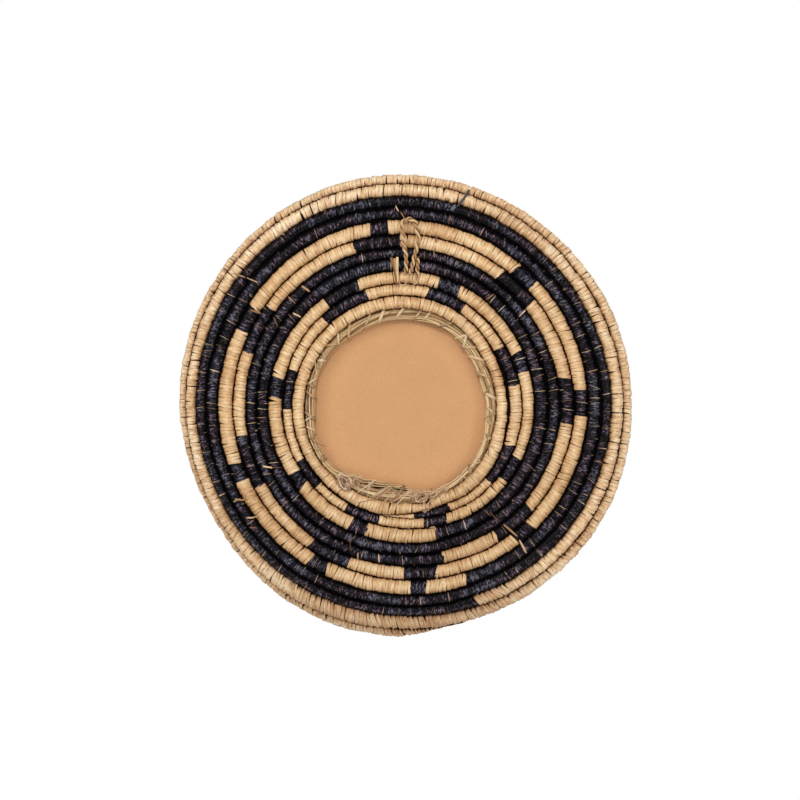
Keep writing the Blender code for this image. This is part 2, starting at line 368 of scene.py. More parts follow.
naturalLook = {
    "tones": [(0.0, paintTone(152, 100, 56)), (0.35, paintTone(202, 156, 106)),
              (0.62, paintTone(230, 190, 140)), (1.0, paintTone(252, 227, 188))],
    "oddTones": [(0.0, paintTone(128, 82, 44)), (0.5, paintTone(196, 148, 98)),
                 (1.0, paintTone(232, 198, 152))],
    "oddFrom": 0.8, "oddShare": 0.7,
    "grooveShadeTone": paintTone(78, 45, 22), "lineFrom": 0.34, "faint": 0.5, "hard": 1.0, "hardFrom": 0.4,
    "valleyTone": paintTone(96, 58, 30), "valleyFrom": 0.80, "valley": 0.85,
    "low": 0.55, "lowShadeTone": paintTone(231, 228, 224), "lowShadeFromTo": (-0.10, -0.22), "lowShadeHard": 0.0,
    "fibres": 5.5, "rounds": 5.0, "fibreDepth": 1.3, "wrapDepth": 0.16, "strandDepth": 0.22,
    "breaks": 9.0, "breakTo": 0.12,
    "crestHighlightShare": 0.55, "crestHighlightDepth": 0.34,
    "foldDepth": 0.3, "stainDepth": 0.4, "blotches": 260.0, "blotchDepth": 0.5,
    "roughness": 0.5, "roughnessDepth": 0.3, "gloss": 0.4,
    "foldRelief": 1.2, "blotchRelief": 1.6, "relief": 0.00022, "reliefStrength": 0.9,
}
# the dyed raffia's own colour is near black; the brighter stops of its tones are painted sheen, highlights carried
# in the colour rather than the gloss
dyedLook = {
    "tones": [(0.0, paintTone(1, 1, 1)), (0.40, paintTone(4, 2, 4)), (0.58, paintTone(22, 13, 20)),
              (0.78, paintTone(66, 51, 65)), (1.0, paintTone(122, 106, 118))],
    "oddTones": [(0.0, paintTone(1, 1, 2)), (0.40, paintTone(3, 3, 6)), (0.58, paintTone(14, 14, 22)),
                 (0.80, paintTone(50, 50, 64)), (1.0, paintTone(104, 104, 116))],
    "oddFrom": 0.55, "oddShare": 0.75,
    "grooveShadeTone": paintTone(3, 2, 4), "lineFrom": 0.38, "faint": 0.35, "hard": 0.9, "hardFrom": 0.6,
    "valleyTone": paintTone(1, 1, 2), "valleyFrom": 0.60, "valley": 0.96,
    "low": 0.0, "lowShadeTone": paintTone(231, 228, 224), "lowShadeFromTo": (-0.10, -0.22), "lowShadeHard": 0.0,
    "fibres": 4.2, "rounds": 8.0, "fibreDepth": 2.9, "wrapDepth": 0.3, "strandDepth": 0.2,
    "breaks": 7.0, "breakTo": 0.3,
    "crestHighlightShare": 0.45, "crestHighlightDepth": 0.38,
    "foldDepth": 0.5, "stainDepth": 0.3, "blotches": 800.0, "blotchDepth": 0.5,
    "roughness": 0.34, "roughnessDepth": 0.6, "gloss": 0.13,
    "foldRelief": 1.0, "blotchRelief": 0.9, "relief": 0.00034, "reliefStrength": 1.0,
}
rimLook = {
    **naturalLook, "grooveShadeTone": paintTone(98, 58, 30), "lineFrom": 0.32, "faint": 0.5, "hardFrom": 0.52,
    "stainDepth": 0.6, "blotchDepth": 0.7, "fibreDepth": 1.6,
    "valleyFrom": 0.85, "valley": 0.75,
    # painted shade: the lower rim is darkened and its groove lines drawn full strength
    "low": 0.95, "lowShadeTone": paintTone(216, 209, 202), "lowShadeFromTo": (-0.222, -0.268), "lowShadeHard": 0.9,
    "tones": [(0.0, paintTone(162, 112, 70)), (0.35, paintTone(212, 168, 122)),
              (0.62, paintTone(239, 202, 157)), (1.0, paintTone(255, 239, 207))]}
naturalFinish = raffiaFinish("raffiaNatural", naturalLook)
rimFinish = raffiaFinish("raffiaRim", rimLook)
dyedFinish = raffiaFinish("raffiaDyed", dyedLook)


def plainFibreFinish(name, tones, roughness, stretch, relief=0.00008):
    # fibres that run along a piece whose attributes run and around say where on it
    finish, tree, shader = startFinish(name, roughness)
    run, around, tone = attribute(tree, "run"), attribute(tree, "around"), attribute(tree, "stemTone")
    place = combine(tree, calc(tree, "MULTIPLY", around, 9.0), calc(tree, "MULTIPLY", run, stretch),
                    calc(tree, "MULTIPLY", tone, 43.0))
    fibres = noise(tree, place, 1.0, 3.0, 0.6)
    patches = noise(tree, combine(tree, calc(tree, "MULTIPLY", run, stretch * 0.4), tone, 0.0), 1.0, 2.0)
    mixed = calc(tree, "MULTIPLY_ADD", calc(tree, "SUBTRACT", fibres, 0.5), 0.9, tone)
    mixed = calc(tree, "MULTIPLY_ADD", calc(tree, "SUBTRACT", patches, 0.5), 0.7, mixed)
    tree.links.new(ramp(tree, mixed, tones), shader.inputs["Base Color"])
    rough = calc(tree, "MULTIPLY_ADD", fibres, 0.25, roughness - 0.12)
    tree.links.new(rough, shader.inputs["Roughness"])
    shader.inputs["Specular IOR Level"].default_value = 0.35
    bump(tree, shader, fibres, relief, 0.8)
    return finish


tieLook = {
    **naturalLook, "faint": 0.1, "hard": 0.3, "valley": 0.2, "wrapDepth": 0.9, "lineFrom": 0.36,
    "tones": [(0.0, paintTone(126, 92, 60)), (0.4, paintTone(176, 142, 102)),
              (0.7, paintTone(200, 170, 130)), (1.0, paintTone(220, 196, 160))]}
sliverLook = {
    **naturalLook, "faint": 0.15, "hard": 0.4, "valley": 0.5, "wrapDepth": 0.9,
    "tones": [(0.0, paintTone(116, 84, 58)), (0.4, paintTone(176, 142, 106)),
              (0.7, paintTone(214, 181, 142)), (1.0, paintTone(240, 215, 180))]}
tieFinish = raffiaFinish("raffiaTies", tieLook)
sliverFinish = raffiaFinish("raffiaSlivers", sliverLook)
stemFinish = plainFibreFinish("grassStems", [
    (0.0, paintTone(126, 90, 54)), (0.35, paintTone(182, 144, 98)),
    (0.7, paintTone(210, 177, 128)), (1.0, paintTone(232, 205, 160))], 0.5, 60.0)
cordFinish = plainFibreFinish("raffiaCord", [
    (0.0, paintTone(132, 90, 52)), (0.3, paintTone(188, 144, 96)),
    (0.7, paintTone(226, 190, 142)), (1.0, paintTone(244, 218, 176))], 0.5, 140.0, 0.00012)
strayFinish = plainFibreFinish("raffiaStrays", [
    (0.0, paintTone(120, 80, 48)), (0.4, paintTone(184, 142, 98)),
    (1.0, paintTone(226, 190, 146))], 0.5, 160.0)
tangleFinish = plainFibreFinish("raffiaTangles", [
    (0.0, paintTone(128, 88, 62)), (0.35, paintTone(190, 146, 112)),
    (0.7, paintTone(216, 180, 144)), (1.0, paintTone(238, 212, 180))], 0.5, 160.0)
darkStrayFinish = plainFibreFinish("raffiaDarkStrays", [
    (0.0, paintTone(36, 38, 46)), (0.5, paintTone(70, 74, 84)), (1.0, paintTone(112, 116, 126))], 0.42, 160.0)


def smoothRoute(route, perSpan):
    # a smooth line that passes through every point of the route
    points, padded = [], [route[0], *route, route[-1]]
    for span in range(len(route) - 1):
        p, q, r, s = (Vector(point) for point in padded[span:span + 4])
        for step in range(perSpan):
            t = step / perSpan
            points.append(0.5 * (2 * q + (r - p) * t + (2 * p - 5 * q + 4 * r - s) * t * t
                                 + (3 * q - 3 * r + s - p) * t ** 3))
    return points + [Vector(route[-1])]


def strandMesh(name, strands, finish, sides=6):
    # closed strands of fibre: points, half widths along them, thickness share, tone
    bm = bmesh.new()
    run, around, tone = (bm.verts.layers.float.new(label) for label in ("run", "around", "stemTone"))
    for number, strand in enumerate(strands):
        points, widths, rings, length = strand["points"], strand["widths"], [], 0.0
        for step, point in enumerate(points):
            before, after = points[max(0, step - 1)], points[min(len(points) - 1, step + 1)]
            forward = (after - before).normalized()
            side = forward.cross(Vector((0.0, 1.0, 0.0))).normalized()
            up = side.cross(forward)
            length += (point - before).length
            width = widths[0] + (widths[1] - widths[0]) * step / (len(points) - 1)
            width *= 1 - strand.get("taper", 0.0) * (2 * step / (len(points) - 1) - 1) ** 4
            ring = []
            for corner in range(sides):
                angle = 2 * pi * corner / sides
                vert = bm.verts.new(point + side * (width * cos(angle))
                                    + up * (width * strand.get("thin", 1.0) * sin(angle)))
                vert[run], vert[around] = length, abs(2 * corner / sides - 1)
                vert[tone] = strand.get("tone", number * 0.37 % 1)
                if "hub" in strand:
                    # painted shade: darker where it lies against the other ply
                    inward = (vert.co - point).normalized().dot((strand["hub"][step] - point).normalized())
                    vert[tone] -= 0.6 * max(0.0, inward + 0.2)
                ring.append(vert)
            rings.append(ring)
        for first, second in zip(rings, rings[1:]):
            for corner in range(sides):
                after = (corner + 1) % sides
                bm.faces.new((first[corner], second[corner], second[after], first[after])).smooth = True
        bm.faces.new(rings[0])
        bm.faces.new(rings[-1][::-1])
    bmesh.ops.recalc_face_normals(bm, faces=bm.faces)
    mesh = bpy.data.meshes.new(name)
    bm.to_mesh(mesh)
    bm.free()
    mesh.materials.append(finish)
    return addObject(name, mesh)


# The hanging loop: two plies of raffia twisted round each other.

loop = {
    "route": ((0.0020, -0.0335), (0.0019, -0.0277), (0.0022, -0.0218), (0.0033, -0.0166),
              (0.0040, -0.0100), (0.0048, -0.0045), (0.0038, -0.0004), (0.0002, 0.0014),
              (-0.0036, -0.0004), (-0.0050, -0.0040), (-0.0058, -0.0090), (-0.0060, -0.0130),
              (-0.0052, -0.0180), (-0.0037, -0.0235), (-0.0024, -0.0290), (-0.0014, -0.0335)),
    "y": 0.0,
    "rootY": -0.0035,           # its two ends go down between the third and the fourth turn
    "diameter": 0.0028,
    "pitch": 0.0094,
    "plyRadius": 0.00080,
    "plyOffset": 0.00078,
}


def twistedPlies(centre, tone, turned=0.0):
    plies = []
    for ply in (0, 1):
        points, length = [], 0.0
        for step, point in enumerate(centre):
            before, after = centre[max(0, step - 1)], centre[min(len(centre) - 1, step + 1)]
            forward = (after - before).normalized()
            side = forward.cross(Vector((0.0, 1.0, 0.0))).normalized()
            length += (point - before).length
            angle = 2 * pi * length / loop["pitch"] + pi * ply + turned
            points.append(point + (side * cos(angle) + side.cross(forward) * sin(angle)) * loop["plyOffset"])
        plies.append({"points": points, "hub": centre, "widths": (loop["plyRadius"], loop["plyRadius"]),
                      "taper": 0.12, "tone": tone + 0.32 * ply})
    return plies


loopRoute = [(x, loop["y"], z) for x, z in loop["route"]]
loopRoute = ([(loopRoute[0][0], loop["rootY"], loopRoute[0][2] - 0.0012)] + loopRoute
             + [(loopRoute[-1][0], loop["rootY"], loopRoute[-1][2] - 0.0012)])
loopCentre = smoothRoute(loopRoute, 6)
loopLength = sum((b - a).length for a, b in zip(loopCentre, loopCentre[1:]))
loopCord = strandMesh("loop_cord", twistedPlies(loopCentre, 0.3), cordFinish, 8)
print("loop length", round(loopLength, 4))


# The coil: the same form as the solid one.

coil = {
    "turns": 11,
    "pitch": 0.0084,
    "thickness": 0.0080,
    "openingRadius": 0.0602,
    "start": 285.0,
    "startShare": 0.35, "startTaper": 60.0,
    "endShare": 0.14, "endTaper": 19.0,
    "seamStep": 0.26, "seamEase": 12.0,
    # tenths of a millimetre that the seam lies further out than even turns would, each 30 degrees
    "seamOffsets": (
        -21, -19, -7, -3, -4, 4, -3, 1, 0, -1, 8, 5, -8, 5, 7, -3, -4, 4, 2, 4, 3, 2, 4, 12,
        14, 2, -2, 0, -3, -4, -2, -3, -5, -11, -16, -7, -3, -5, -12, -6, 1, 4, 0, -2, 2, 3, 0, 12,
        12, -5, -2, 2, -1, -1, -2, 1, -1, 0, -1, 6, 2, -14, -12, -1, -11, -15, -18, -10, -4, -7, -12, -5,
        -6, -5, -9, 6, 0, -7, -9, -6, -7, -3, -7, -4, 1, 3, 4, 12, 11, 7, 6, 5, 6, 18, 12, 15,
        16, 3, 2, 15, 4, 0, -1, 4, 9, 14, 2, 7, 5, -2, -5, -3, -11, -8, -8, -5, 1, 4, -15, -15,
        -12, -2, 6, -1, -3, 1, 1, 4, 5, 4, 1, 10, 7, 2, 2, -14, -2, -4, -4, -13, -22, -17, -22,
        -13, -10, -8),
    "wiggles": ((23, 0.00012, -4.1), (38, 0.00009, 1.7)),
    "rimFirst": 7.5, "rimLean": 41.0,
    "tuckFirst": 9.2, "tuckLean": 27.0, "tuckDirection": 212.0, "tuckSpread": 46.0,
    "leanSteps": 12,
    "openingWaves": ((1, 0.0009, 190.0), (2, 0.0006, 158.0), (3, 0.0009, 81.5)),
    "rimWaves": ((1, 0.0010, 12.0), (2, 0.0008, 116.0), (3, 0.0007, 356.0)),
    "middleY": -0.0060,
    "ringX": 0.0030, "ringZ": -0.12299,
    # extra slant of the rim's wraps in degrees, by direction
    "rimSlants": ((200, 0.0), (228, -14.0), (252, -22.0), (288, -26.0), (315, -18.0), (335, -6.0),
                  (350, 0.0)),
    # seams that stand open, or are lapped over: line, direction from and to, millimetres
    "gaps": ((1, -26.0, 42.0, 1.7), (2, 20.0, 62.0, 0.7), (2, 160.0, 200.0, 0.6), (1, 196.0, 250.0, 0.9),
             (10, 198.0, 272.0, -1.5)),
    # where the first turn closes on itself the next one begins as a thin wedge outside it:
    # degrees along the coil, and the line between the two in turns
    "wedge": ((334.0, 1.95), (343.0, 1.75), (351.0, 1.62), (360.0, 1.50), (368.0, 1.43),
              (378.0, 1.50), (387.0, 1.48), (404.0, 1.33), (424.0, 1.20)),
    # lengths of its natural and dyed blocks by turns, in degrees along the coil
    "blocks": (
        350.2, 18.0, 24.8, 20.8, 31.1, 20.7, 28.0, 19.6, 30.4, 25.0, 29.4, 19.4,
        25.6, 14.8, 17.4, 17.6, 21.6, 10.8, 32.4, 12.2, 40.8, 8.9, 39.5, 10.6, 36.6,
        16.5, 40.1, 9.2, 34.6, 7.0, 27.2, 7.4, 30.0, 721.0, 20.6, 15.6, 32.8, 16.0,
        29.2, 15.4, 37.6, 16.2, 36.8, 17.4, 29.2, 18.3, 26.7, 14.6, 19.1, 11.1, 28.4,
        7.0, 40.0, 8.4, 38.2, 7.8, 44.8, 5.8, 46.4, 8.0, 43.4, 6.0, 33.6, 6.0, 27.4,
        4.8, 12.6, 720.8, 714.8),
}


def ease(value):
    value = min(1.0, max(0.0, value))
    return value * value * (3 - 2 * value)


def turnShare(direction):
    return ((direction - coil["start"]) % 360) / 360


def hump(direction, centre, reach):
    away = abs((direction - centre + 180) % 360 - 180)
    return cos(pi / 2 * away / reach) ** 2 if away < reach else 0.0


def seamShift(share):
    away = min(share, 1 - share) * 360
    return coil["seamStep"] * (0.5 - share) * (1 - exp(-(away / coil["seamEase"]) ** 2))


def stepsBetween(values, place):
    # a smooth line through evenly spaced values
    first = min(int(place), len(values) - 2)
    return values[first] + (values[first + 1] - values[first]) * ease(place - first)


def roundBetween(knots, direction):
    # a smooth closed line through values given by direction
    direction %= 360
    for (first, low), (last, high) in zip(knots, knots[1:] + ((knots[0][0] + 360, knots[0][1]),)):
        for place in (direction, direction + 360):
            if first <= place < last:
                return low + (high - low) * ease((place - first) / (last - first))


def waves(direction, out):
    total = 0.0
    for share, crests in ((1 - out, coil["openingWaves"]), (out, coil["rimWaves"])):
        for count, height, crest in crests:
            total += share * height * cos(count * radians(direction - crest))
    return total


def lean(turn, direction):
    rim = (turn - coil["rimFirst"]) / (coil["turns"] - coil["rimFirst"])
    tuck = ease((turn - coil["tuckFirst"]) / (coil["turns"] - coil["tuckFirst"]))
    tuck *= hump(direction, coil["tuckDirection"], coil["tuckSpread"])
    return radians(coil["rimLean"] * min(1.0, max(0.0, rim)) + coil["tuckLean"] * tuck)


def midSurface(turn, direction):
    # radius, Y and lean of the frame's middle surface at a place counted in turns
    flat = min(turn, coil["rimFirst"])
    radius, depth, left = coil["openingRadius"] + coil["pitch"] * flat, 0.0, turn - flat
    if left > 0:
        steps = max(1, round(left * coil["leanSteps"]))
        for step in range(steps):
            angle = lean(flat + (step + 0.5) * left / steps, direction)
            radius += coil["pitch"] * left / steps * cos(angle)
            depth -= coil["pitch"] * left / steps * sin(angle)
    radius += waves(direction, min(1.0, turn / coil["turns"]))
    return radius, coil["middleY"] + depth


def ringPlace(radius, y, direction):
    angle = radians(direction)
    return Vector((coil["ringX"] - radius * cos(angle), y, coil["ringZ"] + radius * sin(angle)))


def boundaryTurn(line, share):
    turn = line + share + seamShift(share)
    if line == 0:
        taper = ease(share * 360 / coil["startTaper"])
        turn += (1 - coil["startShare"]) * (1 - taper)
    if line == coil["turns"]:
        taper = ease((1 - share) * 360 / coil["endTaper"])
        turn -= (1 - coil["endShare"]) * (1 - taper)
    return turn


def seamAt(line, share):
    # reach and Y of the seam between two turns, or of the frame's inner or outer edge
    direction = coil["start"] + 360 * share
    radius, y = midSurface(boundaryTurn(line, share), direction)
    radius += stepsBetween(coil["seamOffsets"], 12 * (line + share) + 0.5) / 10000
    for count, height, phase in coil["wiggles"]:
        radius += height * sin(count * radians(direction) + phase * (line + share))
    return radius, y


def outwardAt(direction):
    return Vector((-cos(radians(direction)), 0.0, sin(radians(direction))))


def wedgeEdge(along, direction):
    # reach and Y of the line between the closed first turn and the wedge outside it
    for (first, low), (last, high) in zip(coil["wedge"], coil["wedge"][1:]):
        if first <= along < last:
            return midSurface(low + (high - low) * (along - first) / (last - first), direction)


def seamGap(line, angle):
    gap = 0.0
    for number, first, last, most in coil["gaps"]:
        share = ((angle - first) % 360) / (last - first)
        if number == line and share < 1:
            gap += most / 1000 * sin(pi * share)
    return gap


def coilSpot(angle, inner=False):
    # centre, directions and half sizes of the coil at an angle along it, or of its closed first turn
    turn = min(int((angle - coil["start"]) // 360), coil["turns"] - 1)
    share = (angle - coil["start"]) / 360 - turn
    low, high = seamAt(turn, share), seamAt(turn + 1, share)
    along = angle - coil["start"]
    edge = wedgeEdge(along + 360 if along < 90 else along, angle)
    if edge and (inner or along < 90):
        high = edge
    elif edge:
        low = edge
    width, rise = high[0] - low[0], high[1] - low[1]
    inside, outside = 0.3 * seamGap(turn, angle), 0.7 * seamGap(turn + 1, angle)
    gap, outward = hypot(width, rise), outwardAt(angle)
    full = 0.25 + 0.75 * min(1.0, gap / coil["pitch"]) if turn in (0, 1, coil["turns"] - 1) else 1.0
    middle = 0.5 + (inside - outside) / 2 / gap
    rim = max(0.0, min(1.0, turn - coil["turns"] + 3.0))
    return {
        "centre": ringPlace(low[0] + width * middle, low[1] + rise * middle, angle),
        "across": outward * (width / gap) + Vector((0.0, rise / gap, 0.0)),
        "behind": outward * (-rise / gap) + Vector((0.0, width / gap, 0.0)),
        "halfWidth": (gap - inside - outside) / 2,
        "halfHeight": coil["thickness"] / 2 * full,
        "slant": radians(roundBetween(coil["rimSlants"], angle)) * rim,
        "reach": (low[0] + high[0]) / 2,
        "level": width / gap,
    }


def addAlong(spots):
    for number, spot in enumerate(spots):
        before, after = spots[max(0, number - 1)], spots[min(len(spots) - 1, number + 1)]
        spot["along"] = (after["centre"] - before["centre"]).normalized()
    return spots


def coilRun(first, last, step, inner=False):
    count = max(2, round((last - first) / step) + 1)
    return addAlong([coilSpot(first + (last - first) * number / (count - 1), inner)
                     for number in range(count)])


def runLength(spots):
    return sum((b["centre"] - a["centre"]).length for a, b in zip(spots, spots[1:]))


vectorValues = ("along", "across", "behind")
numberValues = ("halfWidth", "halfHeight", "pace", "slant", "girth", "pick")


def pathCarrier(name, runs, closed=False, loose=False):
    # polylines, or loose points, with the directions and sizes their wraps need
    points, edges, spots = [], [], []
    for run in runs:
        first = len(points)
        points += [spot["centre"] for spot in run]
        spots += run
        if not loose:
            edges += [(first + number, first + number + 1) for number in range(len(run) - 1)]
            if closed:
                edges.append((len(points) - 1, first))
    mesh = bpy.data.meshes.new(name)
    mesh.from_pydata(points, edges, [])
    for value in vectorValues:
        layer = mesh.attributes.new(value, "FLOAT_VECTOR", "POINT")
        layer.data.foreach_set("vector", [part for spot in spots for part in spot[value]])
    for value in numberValues:
        layer = mesh.attributes.new(value, "FLOAT", "POINT")
        layer.data.foreach_set("value", [spot.get(value, 0.0) for spot in spots])
    return addObject(name, mesh)


# The wraps: one closed ribbon ring each, set along the coil.

wraps = {
    "sides": 14,
    "edgeRise": 0.972,          # height of a wrap's edges, as a share of its full half size
    "flatShare": 0.38,          # of its width, each side of the middle, that is full
    "squareness": 0.86,         # below 1 the coil's round is a little squared
    "dyedSquareness": 1.0,
    "girth": 0.958,             # of the room that the coil has between its seams
    "naturalPace": 0.0022,
    "rimPace": 0.0025,
    "dyedPace": 0.0027,
    "coverage": 1.16,           # width of a wrap over the pace
    "coverageSpread": 0.14,
    "slant": 5.0,
    "slantSpread": 6.0,
    "endSlant": 13.0,           # most that a block's end lies askew
    "slantDrift": 55.0,         # slow change of slant from place to place
    "driftSize": 34.0,
    "swellSpread": 0.034,
    "shift": 0.0002,
    "uneven": 0.15,             # of the pace, that a wrap lies off its even place
    "natural strand": 9,        # wraps from one strand of raffia
    "dyed strand": 8,
}


def ribbonMesh(name, rows, sides, start=0.0, sweep=360.0, squareness=1.0, taper=1.0):
    # a ring or an arc of ribbon round Z: rows are (place along Z, reach), closed on its inside
    bm = bmesh.new()
    uv = bm.loops.layers.uv.new("UVMap")
    whole = sweep >= 360.0
    count = sides if whole else sides + 1
    rings = []
    for side in range(count):
        angle = radians(start + sweep * side / sides)
        x, y = cos(angle), sin(angle)
        x = abs(x) ** squareness * (1 if x > 0 else -1)
        y = abs(y) ** squareness * (1 if y > 0 else -1)
        width = 1.0 if whole else taper + (1 - taper) * sin(pi * side / sides)
        rings.append([bm.verts.new((x * reach, y * reach, along * width)) for along, reach in rows])
    last = len(rows)
    for side in range(sides):
        first, second = rings[side], rings[(side + 1) % count]
        for row in range(last):
            after = (row + 1) % last
            face = bm.faces.new((first[row], second[row], second[after], first[after]))
            face.smooth = True
            inner = row == last - 1
            for loop, (part, step) in zip(face.loops, ((row, 0), (row, 1), (after, 1), (after, 0))):
                across = rows[part][0] + 0.5 if not inner else 0.5
                loop[uv].uv = (across, (side + step) / sides * sweep / 360)
    if not whole:
        bm.faces.new(rings[0])
        bm.faces.new(rings[-1][::-1])
    bmesh.ops.recalc_face_normals(bm, faces=bm.faces)
    mesh = bpy.data.meshes.new(name)
    bm.to_mesh(mesh)
    bm.free()
    return addObject(name, mesh)


def wrapTree():
    tree, given = startTree("wrapsAlongPath", {
        "Wrap": "Object", "Girth": "Float", "Coverage": "Float", "Coverage Spread": "Float",
        "Slant": "Float", "Slant Spread": "Float", "Slant Drift": "Float", "Drift Size": "Float",
        "Swell Spread": "Float", "Shift": "Float", "Uneven": "Float", "Wraps per Strand": "Float",
        "Seed": "Int", "Finish": "Material"})

    def chance(low, high, number, ident=None):
        return anyBetween(tree, low, high, calc(tree, "ADD", given["Seed"], number), ident)

    def around(middle, spread, number):
        return chance(calc(tree, "SUBTRACT", middle, spread), calc(tree, "ADD", middle, spread), number)

    curve = addNode(tree, "GeometryNodeMeshToCurve", {0: given["Path"]}).outputs[0]
    even = addNode(tree, "GeometryNodeResampleCurve",
                   {"Curve": curve, "Length": calc(tree, "MULTIPLY", named(tree, "pace"), 0.9995)},
                   mode="LENGTH").outputs[0]
    across = named(tree, "across", "FLOAT_VECTOR")
    offset = vectorCalc(tree, "ADD",
                        vectorCalc(tree, "SCALE", named(tree, "behind", "FLOAT_VECTOR"),
                                   around(0.0, given["Shift"], 1)),
                        vectorCalc(tree, "SCALE", across, around(0.0, given["Shift"], 8)))
    offset = vectorCalc(tree, "ADD", offset, vectorCalc(
        tree, "SCALE", named(tree, "along", "FLOAT_VECTOR"),
        calc(tree, "MULTIPLY", named(tree, "pace"), around(0.0, given["Uneven"], 9))))
    moved = addNode(tree, "GeometryNodeSetPosition", {"Geometry": even, "Offset": offset}).outputs[0]
    where = addNode(tree, "GeometryNodeInputPosition").outputs[0]
    drift = addNode(tree, "ShaderNodeTexNoise", {
        "Vector": vectorCalc(tree, "SCALE", where, given["Drift Size"]), "Scale": 1.0, "Detail": 1.0}).outputs["Fac"]
    drift = calc(tree, "MULTIPLY", calc(tree, "SUBTRACT", drift, 0.5), given["Slant Drift"])
    slant = calc(tree, "ADD", around(given["Slant"], given["Slant Spread"], 2),
                 calc(tree, "ADD", drift, named(tree, "slant")))
    axis = vectorCalc(tree, "ADD", named(tree, "along", "FLOAT_VECTOR"),
                      vectorCalc(tree, "SCALE", across, calc(tree, "TANGENT", slant)))
    turned = addNode(tree, "FunctionNodeAxesToRotation", {0: axis, 1: across},
                     primary_axis="Z", secondary_axis="X").outputs[0]
    wide = calc(tree, "MULTIPLY", named(tree, "halfWidth"), around(given["Girth"], given["Swell Spread"], 3))
    wide = calc(tree, "DIVIDE", wide, calc(tree, "COSINE", slant))
    high = calc(tree, "MULTIPLY", named(tree, "halfHeight"), around(1.0, given["Swell Spread"], 4))
    cover = around(given["Coverage"], given["Coverage Spread"], 5)
    scale = combine(tree, wide, high, calc(tree, "MULTIPLY", named(tree, "pace"), cover))
    template = addNode(tree, "GeometryNodeObjectInfo", {"Object": given["Wrap"]}).outputs["Geometry"]
    placed = addNode(tree, "GeometryNodeInstanceOnPoints", {
        "Points": moved, "Instance": template, "Rotation": turned, "Scale": scale}).outputs[0]
    index = addNode(tree, "GeometryNodeInputIndex").outputs[0]
    strand = calc(tree, "FLOOR", calc(tree, "DIVIDE", index, given["Wraps per Strand"]))
    toned = keep(tree, placed, "wrapTone", chance(0.0, 1.0, 6), "INSTANCE")
    toned = keep(tree, toned, "strandTone", chance(0.0, 1.0, 7, strand), "INSTANCE")
    return endTree(tree, toned, given["Finish"])


wrapsAlongPath = wrapTree()
wrapRows = [(-0.5, wraps["edgeRise"]), (-wraps["flatShare"], 1.0),
            (wraps["flatShare"], 1.0), (0.5, wraps["edgeRise"])]
wrapShape = ribbonMesh("wrapShape", wrapRows, wraps["sides"], squareness=wraps["squareness"])


roundShape = ribbonMesh("roundShape", wrapRows, wraps["sides"], squareness=wraps["dyedSquareness"])


def wrapRun(first, last, pace, chance, inner=False):
    # from the middle of its first wrap to that of its last
    count = max(2, round(runLength(coilRun(first, last, 2.0, inner)) / pace))
    trim = (last - first) / count / 2
    run = coilRun(first + trim, last - trim, 1.5, inner)
    for spot in run:
        spot["pace"] = runLength(run) / (count - 1)
    for spot in (run[0], run[-1]):
        spot["slant"] += radians(wraps["endSlant"]) * chance.uniform(-1, 1)
    return run


def blockRuns(wanted, pace):
    runs, angle, chance = [], coil["start"], random.Random(5)
    for number, length in enumerate(coil["blocks"]):
        if number == 0 and wanted(0):
            wedge = coil["start"] + coil["wedge"][0][0]
            runs = [wrapRun(angle, angle + 360, pace, chance, True),
                    wrapRun(wedge, angle + length, pace, chance)]
        elif wanted(number):
            runs.append(wrapRun(angle, angle + length, pace, chance))
        angle += length
    return runs


def wrapPiece(name, runs, seed, finish, strand, **changes):
    look = {**wraps, **changes}
    return grow(pathCarrier(name, runs, look.get("closed", False)), wrapsAlongPath, {
        "Wrap": look.get("shape", wrapShape), "Girth": look["girth"], "Coverage": look["coverage"],
        "Coverage Spread": look["coverageSpread"], "Slant": radians(look["slant"]),
        "Slant Spread": radians(look["slantSpread"]), "Slant Drift": radians(look["slantDrift"]),
        "Drift Size": look["driftSize"], "Swell Spread": look["swellSpread"],
        "Shift": look["shift"], "Uneven": look["uneven"], "Wraps per Strand": float(strand),
        "Seed": seed, "Finish": finish})


lastBlock = len(coil["blocks"]) - 1
rimRuns = blockRuns(lambda number: number == lastBlock, wraps["rimPace"])
patternRuns = blockRuns(lambda number: number % 2 == 0 and number != lastBlock, wraps["naturalPace"])
dyedRuns = blockRuns(lambda number: number % 2 == 1, wraps["dyedPace"])
settle(wrapPiece("rim_wraps", rimRuns, 11, rimFinish, wraps["natural strand"], swellSpread=0.055,
                 coverage=1.24, shift=0.00028, slantSpread=10.0, uneven=0.24),
       "raffia_natural", "woven_coil")
settle(wrapPiece("pattern_wraps", patternRuns, 23, naturalFinish, wraps["natural strand"]),
       "raffia_natural", "woven_coil")
settle(wrapPiece("dyed_wraps", dyedRuns, 37, dyedFinish, wraps["dyed strand"], shape=roundShape, swellSpread=0.04,
                 coverage=1.22, shift=0.00014),
       "raffia_dyed", "woven_coil")


# The grass inside the coil, coloured near black: painted shade that shows as the dark between its wraps.

core = {"share": 0.88, "sides": 10, "step": 3.0, "seamWidth": 0.0013, "seamHeight": 0.0008}


def tubeMesh(name, runs, share, sides, finish, closed=False):
    bm = bmesh.new()
    for run in runs:
        rings = []
        for spot in run:
            ring = []
            for side in range(sides):
                angle = 2 * pi * side / sides
                ring.append(bm.verts.new(
                    spot["centre"] + spot["across"] * (spot["halfWidth"] * share * cos(angle))
                    + spot["behind"] * (spot["halfHeight"] * share * sin(angle))))
            rings.append(ring)
        joins = list(zip(rings, rings[1:])) + ([(rings[-1], rings[0])] if closed else [])
        for first, second in joins:
            for side in range(sides):
                after = (side + 1) % sides
                bm.faces.new((first[side], second[side], second[after], first[after])).smooth = True
        if not closed:
            bm.faces.new(rings[0])
            bm.faces.new(rings[-1][::-1])
    bmesh.ops.recalc_face_normals(bm, faces=bm.faces)
    mesh = bpy.data.meshes.new(name)
    bm.to_mesh(mesh)
    bm.free()
    mesh.materials.append(finish)
    return addObject(name, mesh)


